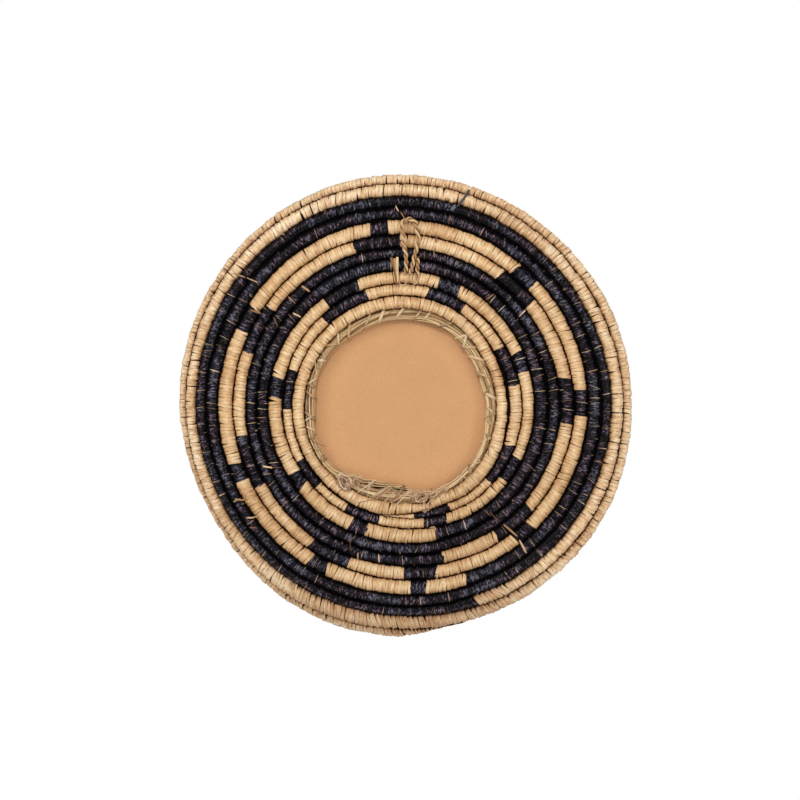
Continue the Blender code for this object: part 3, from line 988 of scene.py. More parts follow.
def seamRun():
    # the line between neighbouring turns, where one turn is sewn to the next
    spots = []
    steps = round(360 * (coil["turns"] - 1) / core["step"])
    for step in range(steps + 1):
        angle = coil["start"] + 360 * (coil["turns"] - 1) * step / steps
        turn = min(int((angle - coil["start"]) // 360), coil["turns"] - 2)
        share = (angle - coil["start"]) / 360 - turn
        radius, y = seamAt(turn + 1, share)
        spots.append({
            "centre": ringPlace(radius, y, angle), "across": outwardAt(angle),
            "behind": Vector((0.0, 1.0, 0.0)),
            "halfWidth": core["seamWidth"], "halfHeight": core["seamHeight"]})
    return spots


def shadeFillFinish(name, tones):
    finish, tree, shader = startFinish(name, 0.9)
    where = addNode(tree, "ShaderNodeTexCoord").outputs["Object"]
    grain = noise(tree, where, 900.0, 3.0, 0.7)
    colour = ramp(tree, grain, tones)
    tree.links.new(colour, shader.inputs["Base Color"])
    shader.inputs["Specular IOR Level"].default_value = 0.1
    bump(tree, shader, grain, 0.0002)
    return finish


# near-black and dark brown finishes for tubes that are painted shade inside the coil, the grass ring and their gaps
insideShadeFinish = shadeFillFinish("grassInside", [(0.2, paintTone(2, 1, 1)), (0.8, paintTone(20, 12, 7))])
fillShadeFinish = shadeFillFinish("grassFill", [(0.2, paintTone(36, 23, 14)), (0.8, paintTone(86, 60, 36))])
gapShadeFinish = shadeFillFinish("grassGaps", [(0.2, paintTone(18, 11, 7)), (0.8, paintTone(56, 38, 24))])
coilEnd = coil["start"] + 360 * coil["turns"]
coreRuns = [coilRun(coil["start"] + coil["wedge"][0][0] + 1, coilEnd, core["step"]),
            coilRun(coil["start"], coil["start"] + 360, core["step"], True)]
settle(tubeMesh("coil_core", coreRuns,
                core["share"], core["sides"], insideShadeFinish), "raffia_natural", "woven_coil")
# a near-black tube along the seams between turns is painted shade
settle(tubeMesh("coil_seams", [seamRun()], 1.0, 8, insideShadeFinish), "raffia_natural", "woven_coil")


# Slivers of natural raffia that show between the dyed wraps, where stitches come through.

slivers = {
    "leastWidth": 0.0026,       # half the width of the coil below which it has none
    # millimetres of coil from one to the next, by direction
    "spacing": ((15, 8.5), (38, 11.0), (52, 26.0), (90, 40.0), (118, 34.0), (136, 17.0), (148, 8.0),
                (205, 8.5), (214, 12.0), (232, 17.0), (262, 21.0), (290, 15.0), (318, 9.5), (345, 8.0)),
    # first angle on the coil's back, sweep, and how often it is used
    "kinds": ((205.0, 120.0, 5), (197.0, 52.0, 2), (292.0, 54.0, 3), (236.0, 68.0, 3), (214.0, 150.0, 2)),
    "girth": (0.00026, 0.00056), "fatGirth": (0.0007, 0.0010), "fatShare": 0.05,
    "slant": 9.0, "wildSlant": 32.0, "wildShare": 0.15,
    "proud": 1.012, "clear": 2.2, "seed": 71,
}


def spotAt(angle):
    spot = coilSpot(angle)
    spot["along"] = (coilSpot(angle + 0.4)["centre"] - coilSpot(angle - 0.4)["centre"]).normalized()
    return spot


def sliverSpots():
    chance = random.Random(slivers["seed"])
    choices = [number for number, kind in enumerate(slivers["kinds"]) for _ in range(kind[2])]
    spots, angle = [], coil["start"]
    for number, length in enumerate(coil["blocks"]):
        last = angle + length - slivers["clear"]
        first = roundBetween(slivers["spacing"], angle) / 1000 / spotAt(angle)["reach"] * 180 / pi
        place = angle + slivers["clear"] * 0.4 + first * chance.random()
        while number % 2 == 1 and place < last:
            spot = spotAt(place)
            low, high = slivers["fatGirth" if chance.random() < slivers["fatShare"] else "girth"]
            wide = slivers["wildSlant" if chance.random() < slivers["wildShare"] else "slant"]
            spot["girth"] = low + (high - low) * chance.random()
            spot["slant"] = radians(wide * (2 * chance.random() - 1))
            spot["pick"] = float(chance.choice(choices))
            if spot["halfWidth"] > slivers["leastWidth"]:
                spots.append(spot)
            room = roundBetween(slivers["spacing"], place) / 1000 * (0.35 + 1.3 * chance.random())
            place += room / spot["reach"] * 180 / pi
        angle += length
    return spots


def sliverTree():
    tree, given = startTree("sliversOnCoil", {"Shapes": "Collection", "Proud": "Float", "Seed": "Int",
                                              "Finish": "Material"})
    across, slant = named(tree, "across", "FLOAT_VECTOR"), named(tree, "slant")
    axis = vectorCalc(tree, "ADD", named(tree, "along", "FLOAT_VECTOR"),
                      vectorCalc(tree, "SCALE", across, calc(tree, "TANGENT", slant)))
    turned = addNode(tree, "FunctionNodeAxesToRotation", {0: axis, 1: across},
                     primary_axis="Z", secondary_axis="X").outputs[0]
    wide = calc(tree, "MULTIPLY", named(tree, "halfWidth"), given["Proud"])
    scale = combine(tree, calc(tree, "DIVIDE", wide, calc(tree, "COSINE", slant)),
                    calc(tree, "MULTIPLY", named(tree, "halfHeight"), given["Proud"]), named(tree, "girth"))
    shapes = addNode(tree, "GeometryNodeCollectionInfo", {
        "Collection": given["Shapes"], "Separate Children": True, "Reset Children": True}).outputs[0]
    placed = addNode(tree, "GeometryNodeInstanceOnPoints", {
        "Points": given["Path"], "Instance": shapes, "Pick Instance": True,
        "Instance Index": named(tree, "pick"), "Rotation": turned, "Scale": scale}).outputs[0]
    for name, number in (("wrapTone", 1), ("strandTone", 2)):
        placed = keep(tree, placed, name, anyBetween(
            tree, 0.0, 1.0, calc(tree, "ADD", given["Seed"], number)), "INSTANCE")
    return endTree(tree, placed, given["Finish"])


sliverShapes = bpy.data.collections.new("sliverShapes")
bpy.context.scene.collection.children.link(sliverShapes)
for number, (first, sweep, _) in enumerate(slivers["kinds"]):
    rows = [(-0.5, 0.99), (-0.2, 1.03), (0.2, 1.03), (0.5, 0.99)]
    shape = ribbonMesh("sliver%d" % number, rows, 8, first, sweep, wraps["squareness"], 0.25)
    bpy.context.scene.collection.objects.unlink(shape)
    sliverShapes.objects.link(shape)
sliverPiece = grow(pathCarrier("dyed_slivers", [sliverSpots()], loose=True), sliverTree(), {
    "Shapes": sliverShapes, "Proud": slivers["proud"], "Seed": 5, "Finish": sliverFinish})
settle(sliverPiece, "raffia_natural")
for shape in list(sliverShapes.objects):
    bpy.data.objects.remove(shape)
bpy.data.collections.remove(sliverShapes)


# The ring of raw grass inside the first turn.

grass = {
    "height": 0.0066, "frontY": -0.0100, "tuckUnder": 0.0005,
    # how far the board shows, in millimetres from the ring's centre, by direction
    "opening": ((3, 54.6), (8, 53.4), (23, 52.3), (39, 53.6), (57, 55.9), (70, 56.8), (93, 56.7),
                (109, 57.0), (122, 56.5), (134, 59.0), (150, 60.3), (162, 60.8), (178, 59.0),
                (203, 63.2), (218, 65.9), (227, 60.6), (238, 56.5), (250, 54.1), (262, 52.9),
                (274, 53.7), (278, 58.1), (289, 60.1), (305, 59.6), (320, 59.0), (331, 57.6), (352, 54.5)),
    "mostWidth": 0.0076, "leastWidth": 0.0042,
    # how far it stands off the first turn, in millimetres
    "apart": ((5, 0.7), (40, 0.2), (70, 0.0), (130, 0.1), (165, 0.9), (205, 1.1), (228, 0.4), (250, 0.0),
              (300, 0.0), (330, 0.4)),
    "stems": 27, "stemRadius": 0.00088, "radiusSpread": 0.00034, "twists": 1.2,
    "waver": 0.0018, "waverSize": 65.0, "step": 0.0025, "flatness": 0.66, "fill": 0.88,
    "lapFrom": 219.0, "lapTo": 279.0, "lapStems": 25, "lapWidth": 0.0072, "lapHeight": 0.0062,
    "lapStemRadius": 0.00066, "lapRadiusSpread": 0.00024, "lapWaver": 0.0026, "lapFill": 0.7,
    "gapFrom": 138.0, "gapTo": 231.0, "gapHeight": 0.0032,      # where it stands well off the first turn
    "lapTuckFrom": 266.0, "lapTuck": 0.0040,
    "lapOver": 0.0022,          # how far the lap reaches over the first turn
    "lapTieIn": 0.0007,         # how far its ties stay back from the opening
    "tiePace": 0.0112, "tieWidth": 0.18, "tieSlant": 36.0, "tieSlantSpread": 14.0, "tieUneven": 0.3,
    "backTiePace": 0.0160, "backTieSlant": -40.0, "backTieWidth": 0.10, "tieOver": 0.0004,
    "crossed": ((138.0, 219.0), (306.0, 405.0)),    # where its ties are crossed, by direction
}


# Loose strands and ends that lie on the backs of the coils: half width in millimetres,
# then direction and millimetres from the ring's centre along it.

strays = {
    "lift": 0.00025,
    "step": 0.0008,
    "bridge": 0.45,             # how far a strand dips into the seams that it crosses
    "thin": 0.38,
    "pale": (
        (0.28, (308.3, 92.0), (309.0, 100.5)),
        (0.62, (309.6, 104.0), (310.6, 116.4)),
        (0.70, (310.3, 119.0), (309.3, 128.8)),
        (0.60, (52.1, 89.0), (51.0, 95.4)),
        (0.75, (130.9, 105.4), (130.0, 98.6)),
        (0.60, (140.7, 96.8), (139.8, 90.8)),
        (0.70, (148.5, 121.4), (147.6, 114.0)),
        (0.32, (126.3, 143.0), (125.2, 138.0)),
        (0.62, (203.4, 103.8), (205.6, 98.2)),
        (0.60, (209.0, 129.6), (211.0, 124.4)),
        (0.55, (215.6, 129.8), (217.0, 125.2)),
        (0.52, (218.4, 132.4), (219.6, 128.4)),
        (0.52, (253.3, 109.3), (252.6, 104.0)),
        (0.48, (260.9, 107.2), (260.2, 101.8)),
        (0.14, (249.6, 93.0), (248.4, 99.0), (250.2, 104.5)),
        (0.42, (281.3, 84.4), (283.2, 84.2), (284.0, 85.6), (283.4, 87.0), (282.4, 86.8)),
        (0.48, (92.5, 132.6), (92.2, 131.0), (91.7, 129.0)),
        (0.42, (91.2, 128.6), (90.6, 126.6), (89.9, 124.4)),
        (0.18, (79.8, 110.3), (79.2, 105.0), (78.5, 100.4)),
        (0.50, (79.4, 116.2), (79.0, 110.4)),
        (0.50, (142.9, 144.0), (142.0, 139.5), (141.4, 135.2)),
        (0.30, (141.2, 134.5), (140.2, 127.5)),
        (0.30, (112.0, 140.2), (112.9, 136.5)),
        (0.30, (95.3, 109.4), (95.1, 107.8)),
    ),
    "ring": (
        (0.26, (197.0, 69.7), (203.0, 65.0), (208.1, 59.6)),
        (0.24, (214.9, 73.1), (219.0, 66.0), (223.1, 59.4)),
        (0.50, (228.5, 66.6), (231.0, 63.2), (234.0, 62.4), (236.2, 64.6), (234.6, 67.2), (231.6, 67.4)),
        (0.46, (230.0, 68.0), (232.4, 65.0), (235.4, 63.0), (238.0, 61.6)),
        (0.42, (231.8, 62.0), (233.4, 64.4), (234.6, 66.8), (237.0, 67.6)),
        (0.44, (235.6, 61.4), (233.6, 63.2), (231.6, 65.8), (229.6, 66.6)),
        (0.26, (229.4, 64.4), (232.2, 65.6), (235.6, 65.4), (239.6, 64.6)),
        (0.44, (281.6, 62.6), (283.6, 60.4), (286.4, 60.6), (287.6, 62.8), (285.6, 64.6), (282.8, 64.2)),
        (0.28, (282.0, 60.0), (284.4, 62.4), (286.6, 65.2)),
        (0.24, (279.2, 71.4), (280.6, 73.8), (281.2, 70.6)),
        (0.30, (283.2, 60.2), (281.9, 66.0), (280.4, 72.5)),
        (0.26, (285.4, 61.0), (284.6, 66.0), (282.4, 71.4)),
        (0.26, (274.7, 65.6), (275.7, 60.9), (277.4, 56.6)),
        (0.26, (276.8, 65.6), (279.0, 62.0), (281.8, 58.8)),
        (0.24, (278.7, 66.4), (281.9, 63.3), (284.5, 59.8)),
        (0.25, (286.6, 66.7), (291.5, 63.0), (297.6, 59.6)),
        (0.22, (287.7, 69.2), (293.1, 65.8), (299.4, 63.0)),
        (0.30, (227.9, 69.5), (229.9, 63.0), (232.2, 57.8)),
        (0.30, (236.2, 63.2), (237.4, 59.1), (239.2, 55.0)),
        (0.26, (92.0, 67.0), (98.0, 63.0), (104.0, 58.6)),
        (0.24, (20.0, 64.5), (28.0, 60.0), (34.0, 55.4)),
        (0.24, (150.0, 69.5), (156.0, 65.5), (161.0, 62.0)),
        (0.26, (328.0, 66.0), (334.0, 62.5), (341.0, 57.0)),
    ),
    # pale ties that cross the lap
    "lap": (
        (0.34, (244.2, 73.2), (253.4, 64.6), (261.4, 55.6)),
        (0.34, (261.6, 66.6), (268.0, 61.5), (273.7, 56.8)),
        (0.40, (241.9, 66.8), (244.7, 61.1), (248.6, 54.0)),
        (0.28, (252.3, 67.4), (256.5, 61.9), (261.5, 56.3)),
        (0.32, (258.1, 66.7), (260.5, 62.8), (264.4, 58.0)),
        (0.30, (265.1, 67.5), (269.7, 61.9), (274.3, 57.2)),
        (0.55, (281.0, 74.0), (282.0, 69.4), (285.6, 66.5), (291.0, 63.4)),
        (0.48, (280.7, 73.2), (281.0, 68.5), (280.6, 63.5)),
        (0.24, (248.2, 66.8), (247.2, 61.5), (245.0, 56.4)),
        (0.24, (262.4, 67.0), (260.6, 61.0), (258.4, 55.4)),
    ),
    # where thin strands are tangled: direction, reach, size, how many, thinnest and thickest
    "tangles": ((232.4, 66.2, 6.2, 17, 0.20, 0.42), (239.0, 61.0, 4.0, 6, 0.12, 0.26),
                (280.2, 62.2, 5.8, 12, 0.16, 0.38), (276.0, 60.6, 4.4, 5, 0.12, 0.26),
                (281.6, 70.0, 2.6, 5, 0.20, 0.40),
                (288.0, 63.4, 3.8, 8, 0.14, 0.32), (295.0, 62.6, 3.2, 6, 0.12, 0.28)),
    "tangleLift": (0.0006, 0.0023),
    "tangleSeed": 17,
    "dark": (
        (0.75, (73.2, 148.2), (73.7, 144.0), (74.4, 139.5), (75.1, 136.2)),
        (1.40, (75.6, 136.9), (76.0, 134.8), (76.4, 132.6)),
        (0.16, (65.4, 88.4), (66.4, 85.0), (68.4, 84.6), (69.4, 86.4), (70.6, 85.4)),
        (0.20, (92.4, 86.6), (90.6, 90.4), (88.6, 92.6)),
        (0.20, (292.8, 143.6), (292.6, 141.6)),
        (0.22, (352.4, 109.2), (352.3, 107.8)),
        (0.22, (346.5, 110.6), (346.4, 109.2)),
    ),
    "tails": (
        (0.50, 1.10, (93.7, 82.2), (93.9, 86.0), (94.3, 91.5), (95.2, 98.9)),
        (0.50, 1.00, (93.4, 82.2), (93.5, 86.0), (93.6, 91.5), (94.0, 98.2)),
        (0.50, 1.05, (93.1, 82.2), (93.1, 86.0), (93.0, 91.5), (92.8, 98.9)),
    ),
    "knots": (
        (0.24, (94.8, 79.6), (93.9, 81.6), (92.7, 83.4)),
        (0.24, (94.5, 83.0), (93.6, 81.4), (92.5, 79.9)),
        (0.26, (92.9, 82.9), (92.3, 81.2), (91.2, 80.2), (89.9, 80.5), (89.0, 81.8), (89.1, 83.4),
         (90.0, 84.0)),
        (0.24, (89.2, 79.6), (88.0, 81.0), (87.0, 82.6)),
        (0.26, (87.9, 83.4), (86.8, 82.2), (85.6, 81.4), (84.3, 81.8), (83.8, 83.2), (84.4, 84.4)),
        (0.22, (86.3, 79.8), (85.0, 81.0), (84.2, 82.6)),
    ),
}


def backSpot(direction, reach, lift):
    # a place on the backs of the coils
    share, best = turnShare(direction), None
    lapped = grass["lapFrom"] + 8 < direction % 360 < grass["lapTo"]
    if reach < seamAt(0, share)[0] + (grass["lapOver"] if lapped else 0.0):
        return ringPlace(reach, grass["frontY"] + grass["height"] + 0.0006 + lift, direction)
    for turn in range(coil["turns"]):
        spot = coilSpot(coil["start"] + 360 * (turn + share))
        out = (reach - spot["reach"]) / (spot["halfWidth"] * spot["level"])
        if best is None or abs(out) < abs(best[0]):
            best = (out, spot)
    out, spot = best
    out = max(-1.0, min(1.0, out))
    dome = (1 - abs(out) ** (2 / wraps["squareness"])) ** (wraps["squareness"] / 2)
    height = spot["halfHeight"] * (1 - strays["bridge"] * (1 - dome)) + lift
    return spot["centre"] + spot["across"] * (out * spot["halfWidth"]) + spot["behind"] * height


def strandOnBack(route, lift):
    points = []
    flat = smoothRoute([(direction, reach, 0.0) for direction, reach in route], 8)
    length = sum(hypot((b[0] - a[0]) * 1.7, b[1] - a[1]) for a, b in zip(flat, flat[1:])) / 1000
    every = max(1, round(len(flat) * strays["step"] / length))
    for place in flat[::every] + [flat[-1]]:
        points.append(backSpot(place[0], place[1] / 1000, lift))
    if (points[-1] - points[-2]).length < 0.0001:
        points.pop(-2)
    return points


def strayStrands(rows, taper, lift=None, thin=None, toneFrom=0.0):
    made = []
    for row in rows:
        widths = [part / 1000 for part in row if not isinstance(part, tuple)]
        route = [part for part in row if isinstance(part, tuple)]
        made.append({"points": strandOnBack(route, strays["lift"] if lift is None else lift),
                     "widths": (widths[0], widths[-1]), "taper": taper,
                     "tone": toneFrom + (1 - toneFrom) * (len(made) * 0.37 % 1),
                     "thin": strays["thin"] if thin is None else thin})
    return made


def tangledStrands():
    chance, made = random.Random(strays["tangleSeed"]), []
    for direction, reach, size, count, thinnest, thickest in strays["tangles"]:
        for _ in range(count):
            width, route = thinnest + (thickest - thinnest) * chance.random() ** 2, []
            angle, turn = 2 * pi * chance.random(), chance.choice((-1, 1)) * (0.5 + 0.7 * chance.random())
            for step in range(6):
                out = size * chance.random() ** 0.6
                route.append((direction + degrees(out * cos(angle) / reach), reach + 0.8 * out * sin(angle)))
                angle += turn * (0.7 + 0.6 * chance.random())
            low, high = strays["tangleLift"]
            made += strayStrands([(width, *route)], 0.4, low + (high - low) * chance.random(), 0.7)
            made[-1]["tone"] = chance.random()
    return made


settle(strandMesh("stray_strands", strayStrands(strays["pale"], 0.75), strayFinish), "raffia_natural")
settle(strandMesh("ring_strands", strayStrands(strays["ring"], 0.5, 0.0003, 0.6), cordFinish), "raw_grass")
lapTies = strayStrands(strays["lap"], 0.5, 0.0009, 0.6, toneFrom=0.3)
settle(strandMesh("lap_ties", lapTies, tangleFinish, 5), "raw_grass")
settle(strandMesh("ring_tangles", tangledStrands(), tangleFinish, 5), "raw_grass")
darkStrands = strayStrands(strays["dark"], 0.6, toneFrom=0.45)
settle(strandMesh("dark_strands", darkStrands, darkStrayFinish), "raffia_dyed")
tailCentre = [backSpot(84.3 + 0.03 * step, 0.0845 + 0.00072 * step, 0.0011) for step in range(21)]
tieEnds = (strayStrands(strays["tails"], 0.1, 0.0006, 0.4) + strayStrands(strays["knots"], 0.3, 0.0005, 0.8)
           + twistedPlies(tailCentre, 0.3, 1.2))
loopEnds = strandMesh("loop_ends", tieEnds, cordFinish)
settle(loopEnds, "raffia_cord")
settle(loopCord, "raffia_cord", "hanging_loop")


def innerEdge(direction):
    return seamAt(0, turnShare(direction))[0]


def grassSpot(direction, part="ring"):
    opening = roundBetween(grass["opening"], direction) / 1000
    edge = sum(innerEdge(direction + step) for step in (-6, -3, 0, 3, 6)) / 5
    apart = roundBetween(grass["apart"], direction) / 1000
    outer = edge + grass["tuckUnder"] - apart
    inner = max(opening, outer - grass["mostWidth"])
    inner = min(inner, outer - grass["leastWidth"])
    height = grass["height"]
    tuck = ease((direction - grass["lapTuckFrom"]) / (grass["lapTo"] - grass["lapTuckFrom"]))
    if part == "ties":
        if grass["lapFrom"] < direction % 360 < grass["lapTo"]:
            opening += grass["lapTieIn"] + grass["lapTuck"] * ease((direction % 360 - grass["lapTuckFrom"])
                                                                   / (grass["lapTo"] - grass["lapTuckFrom"]))
        inner, outer = min(inner, opening) + 0.0002, outer + grass["tieOver"]
        height += 0.0004
    if part == "fill":
        outer += apart
    if part == "gap":
        inner, outer, height = outer - 0.0005, outer + apart + 0.0003, grass["gapHeight"]
    if part == "lap":
        tuck = max(tuck, ease((grass["lapFrom"] + 12 - direction) / 12))
        inner = opening + grass["lapTuck"] * tuck
        outer, height = inner + grass["lapWidth"] * (1 - 0.5 * tuck), grass["lapHeight"] * (1 - 0.3 * tuck)
    return {
        "centre": ringPlace((inner + outer) / 2, grass["frontY"] + height / 2, direction),
        "across": outwardAt(direction), "behind": Vector((0.0, 1.0, 0.0)),
        "halfWidth": (outer - inner) / 2, "halfHeight": height / 2, "pace": grass["tiePace"]}


def stemTree():
    tree, given = startTree("stemsAlongPath", {
        "Stems": "Int", "Step": "Float", "Stem Radius": "Float", "Radius Spread": "Float",
        "Twists": "Float", "Waver": "Float", "Waver Size": "Float", "Flatness": "Float",
        "Fill": "Float", "Ragged Ends": "Float", "Seed": "Int", "Finish": "Material"})

    def chance(low, high, number, ident):
        return anyBetween(tree, low, high, calc(tree, "ADD", given["Seed"], number), ident)

    curve = addNode(tree, "GeometryNodeMeshToCurve", {0: given["Path"]}).outputs[0]
    even = addNode(tree, "GeometryNodeResampleCurve", {"Curve": curve, "Length": given["Step"]},
                   mode="LENGTH").outputs[0]
    copies = addNode(tree, "GeometryNodeDuplicateElements",
                     {"Geometry": even, "Amount": given["Stems"]}, domain="SPLINE")
    index = copies.outputs["Duplicate Index"]
    bunch = keep(tree, copies.outputs["Geometry"], "stem", index, "CURVE")
    stem = named(tree, "stem")
    trimmed = addNode(tree, "GeometryNodeTrimCurve", {
        "Curve": bunch,
        "Start": chance(0.0, given["Ragged Ends"], 1, stem),
        "End": calc(tree, "SUBTRACT", 1.0, chance(0.0, given["Ragged Ends"], 2, stem))},
        mode="FACTOR").outputs[0]
    factor = addNode(tree, "GeometryNodeSplineParameter")
    turned = calc(tree, "MULTIPLY_ADD", calc(tree, "MULTIPLY", factor.outputs["Factor"], given["Twists"]),
                  2 * pi, calc(tree, "MULTIPLY", stem, 2.39996))
    count = calc(tree, "ADD", given["Stems"], 0.0)
    out = calc(tree, "SQRT", calc(tree, "DIVIDE", calc(tree, "ADD", stem, 0.5), count))
    out = calc(tree, "MULTIPLY", out, given["Fill"])
    sideways = calc(tree, "MULTIPLY", calc(tree, "MULTIPLY", calc(tree, "COSINE", turned), out),
                    named(tree, "halfWidth"))
    upward = calc(tree, "MULTIPLY", calc(tree, "MULTIPLY", calc(tree, "SINE", turned), out),
                  named(tree, "halfHeight"))
    where = addNode(tree, "GeometryNodeInputPosition").outputs[0]
    own = vectorCalc(tree, "ADD", vectorCalc(tree, "SCALE", where, given["Waver Size"]),
                     combine(tree, calc(tree, "MULTIPLY", stem, 7.31), 0.0, calc(tree, "MULTIPLY", stem, 3.7)))
    drift = addNode(tree, "ShaderNodeTexNoise", {"Vector": own, "Scale": 1.0, "Detail": 1.0}).outputs["Color"]
    drift = vectorCalc(tree, "SCALE", vectorCalc(tree, "SUBTRACT", drift, (0.5, 0.5, 0.5)), given["Waver"])
    offset = vectorCalc(tree, "ADD", vectorCalc(tree, "SCALE", named(tree, "across", "FLOAT_VECTOR"), sideways),
                        vectorCalc(tree, "SCALE", named(tree, "behind", "FLOAT_VECTOR"), upward))
    offset = vectorCalc(tree, "ADD", offset, drift)
    placed = addNode(tree, "GeometryNodeSetPosition", {"Geometry": trimmed, "Offset": offset}).outputs[0]
    placed = keep(tree, placed, "run", factor.outputs["Length"], "POINT")
    placed = keep(tree, placed, "stemTone", chance(0.0, 1.0, 3, stem), "CURVE")
    ring = addNode(tree, "GeometryNodeCurvePrimitiveCircle", {"Resolution": 6, "Radius": 1.0}).outputs[0]
    flat = addNode(tree, "GeometryNodeTransform", {
        "Geometry": ring, "Scale": combine(tree, 1.0, given["Flatness"], 1.0)}).outputs[0]
    around = addNode(tree, "GeometryNodeSplineParameter").outputs["Factor"]
    around = calc(tree, "ABSOLUTE", calc(tree, "MULTIPLY_ADD", around, 2.0, -1.0))
    profile = keep(tree, flat, "around", around, "POINT")
    radius = calc(tree, "ADD", given["Stem Radius"], chance(
        calc(tree, "MULTIPLY", given["Radius Spread"], -1.0), given["Radius Spread"], 4, stem))
    tubes = addNode(tree, "GeometryNodeCurveToMesh", {
        "Curve": placed, "Profile Curve": profile, "Scale": radius, "Fill Caps": True}).outputs[0]
    return endTree(tree, tubes, given["Finish"])


stemsAlongPath = stemTree()


def stemPiece(name, run, closed, stems, seed, ragged=0.0, twists=None, **changes):
    look = {**grass, **changes}
    return grow(pathCarrier(name, [run], closed), stemsAlongPath, {
        "Stems": stems, "Step": look["step"], "Stem Radius": look["stemRadius"],
        "Radius Spread": look["radiusSpread"], "Twists": float(look["twists"] if twists is None else twists),
        "Waver": look["waver"], "Waver Size": look["waverSize"], "Flatness": look["flatness"],
        "Fill": look["fill"], "Ragged Ends": ragged, "Seed": seed, "Finish": stemFinish})


ringRun = addAlong([grassSpot(coil["start"] + 3.0 * step) for step in range(120)])
settle(stemPiece("ring_stems", ringRun, True, grass["stems"], 3), "raw_grass", "grass_ring")
lapSteps = round((grass["lapTo"] - grass["lapFrom"]) / 2.0)
lapRun = addAlong([grassSpot(grass["lapFrom"] + 2.0 * step, "lap") for step in range(lapSteps + 1)])
settle(stemPiece("ring_lap", lapRun, False, grass["lapStems"], 8, 0.10, 0.4, stemRadius=grass["lapStemRadius"],
                 radiusSpread=grass["lapRadiusSpread"], waver=grass["lapWaver"]), "raw_grass")

# A dark fill inside the bunch keeps light from coming through between the stems; it and the darker tubes along the
# lap and along the gap by the first turn are painted shade.
fillRun = addAlong([grassSpot(coil["start"] + 3.0 * step, "fill") for step in range(120)])
settle(tubeMesh("ring_fill", [fillRun], 0.66, 8, fillShadeFinish, True), "raw_grass", "grass_ring")
settle(tubeMesh("lap_fill", [lapRun], grass["lapFill"], 8, gapShadeFinish), "raw_grass")
gapRun = addAlong([grassSpot(grass["gapFrom"] + 3.0 * step, "gap")
                   for step in range(round((grass["gapTo"] - grass["gapFrom"]) / 3.0))])
settle(tubeMesh("gap_fill", [gapRun], 1.0, 8, gapShadeFinish), "raw_grass")

tieRows = [(-0.5, 0.99), (-0.28, 1.04), (0.28, 1.04), (0.5, 0.99)]
tieShape = ribbonMesh("tieShape", tieRows, 16)


def tieRun(first, last, pace):
    run = addAlong([grassSpot(first + 3.0 * step, "ties") for step in range(round((last - first) / 3.0))])
    for spot in run:
        spot["pace"] = pace
    return run


whole = tieRun(coil["start"], coil["start"] + 360.0, grass["tiePace"])
crossed = [tieRun(first, last, grass["backTiePace"]) for first, last in grass["crossed"]]
tieRuns = {"ring_ties": ([whole], True, grass["tieWidth"], grass["tieSlant"], 51),
           "ring_back_ties": (crossed, False, grass["backTieWidth"], grass["backTieSlant"], 57)}
for tieName, (runs, closed, tieWidth, tieSlant, tieSeed) in tieRuns.items():
    settle(wrapPiece(tieName, runs, tieSeed, tieFinish, 1, closed=closed, shape=tieShape, girth=1.0,
                     coverage=tieWidth, coverageSpread=0.4 * tieWidth, uneven=grass["tieUneven"],
                     slant=tieSlant, slantSpread=grass["tieSlantSpread"], slantDrift=0.0,
                     swellSpread=0.03, shift=0.0002), "raw_grass")


# The board, the glass and the wrapped border that holds it.

border = {"radius": 0.0036, "reach": 0.0789, "middleY": -0.0139, "pace": 0.0026}


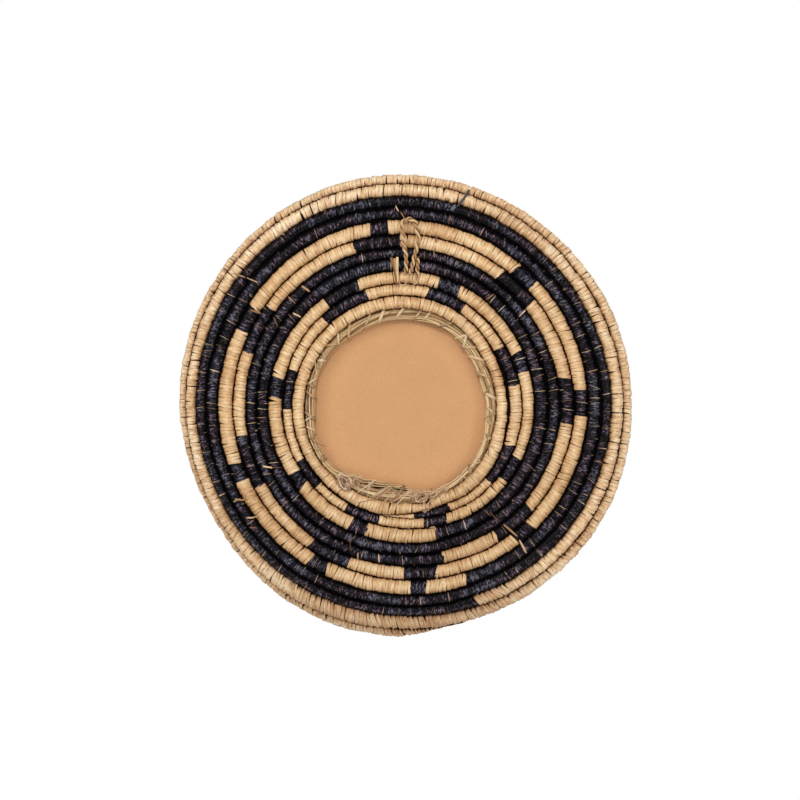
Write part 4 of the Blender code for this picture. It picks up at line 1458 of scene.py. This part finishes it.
def boardFinish():
    finish, tree, shader = startFinish("fibreboardBack", 0.78)
    where = addNode(tree, "ShaderNodeTexCoord").outputs["Object"]
    speck = noise(tree, where, 1500.0, 2.0, 0.6)
    cloud = noise(tree, where, 45.0, 3.0, 0.6)
    tone = calc(tree, "MULTIPLY_ADD", calc(tree, "SUBTRACT", cloud, 0.5), 0.35, speck)
    colour = ramp(tree, tone, [(0.1, paintTone(191, 141, 96)), (0.5, paintTone(204, 154, 108)),
                               (0.9, paintTone(213, 163, 117))])
    fromMiddle = vectorCalc(tree, "SUBTRACT", where, (coil["ringX"], 0.0, coil["ringZ"]))
    fromMiddle = vectorCalc(tree, "MULTIPLY", fromMiddle, (1.0, 0.0, 1.0))
    reach = addNode(tree, "ShaderNodeVectorMath", {0: fromMiddle}, operation="LENGTH").outputs["Value"]
    # painted light: the board's colour is lifted up to 5.5 per cent toward its edge, against the shade the ring
    # casts there
    colour = mixTone(tree, fromTo(tree, reach, 0.034, 0.050), colour, (1.055, 1.055, 1.055, 1.0), "MULTIPLY")
    dark = fromTo(tree, noise(tree, where, 620.0, 1.0), 0.70, 0.78)
    colour = mixTone(tree, calc(tree, "MULTIPLY", dark, 0.2), colour, paintTone(150, 105, 68))
    tree.links.new(colour, shader.inputs["Base Color"])
    rough = calc(tree, "MULTIPLY_ADD", speck, 0.15, 0.7)
    tree.links.new(rough, shader.inputs["Roughness"])
    shader.inputs["Specular IOR Level"].default_value = 0.25
    bump(tree, shader, speck, 0.00005, 0.5)
    return finish


def glassFinish():
    finish, tree, shader = startFinish("silveredGlass", 0.0)
    where = addNode(tree, "ShaderNodeTexCoord").outputs["Object"]
    haze = noise(tree, where, 60.0, 4.0, 0.6)
    colour = ramp(tree, haze, [(0.3, paintTone(238, 243, 241)), (0.7, paintTone(246, 249, 248))])
    tree.links.new(colour, shader.inputs["Base Color"])
    shader.inputs["Metallic"].default_value = 1.0
    return finish


def dress(node, finish):
    node.data.materials.clear()
    node.data.materials.append(finish)
    print("finish set:", node.name)


dress(nodes["backing_board"], boardFinish())
dress(nodes["mirror_glass"], glassFinish())

borderRun = addAlong([{
    "centre": ringPlace(border["reach"], border["middleY"], 3.0 * step),
    "across": Vector((-cos(radians(3.0 * step)), 0.0, sin(radians(3.0 * step)))),
    "behind": Vector((0.0, 1.0, 0.0)), "pace": border["pace"],
    "halfWidth": border["radius"], "halfHeight": border["radius"]} for step in range(120)])
settle(wrapPiece("border_wraps", [borderRun], 61, naturalFinish, wraps["natural strand"], closed=True,
                 girth=1.0), "raffia_border", "border_coil")
settle(tubeMesh("border_core", [borderRun], core["share"], core["sides"], insideShadeFinish, True),
       "raffia_border", "border_coil")

for shape in (wrapShape, roundShape, tieShape):
    bpy.data.objects.remove(shape)
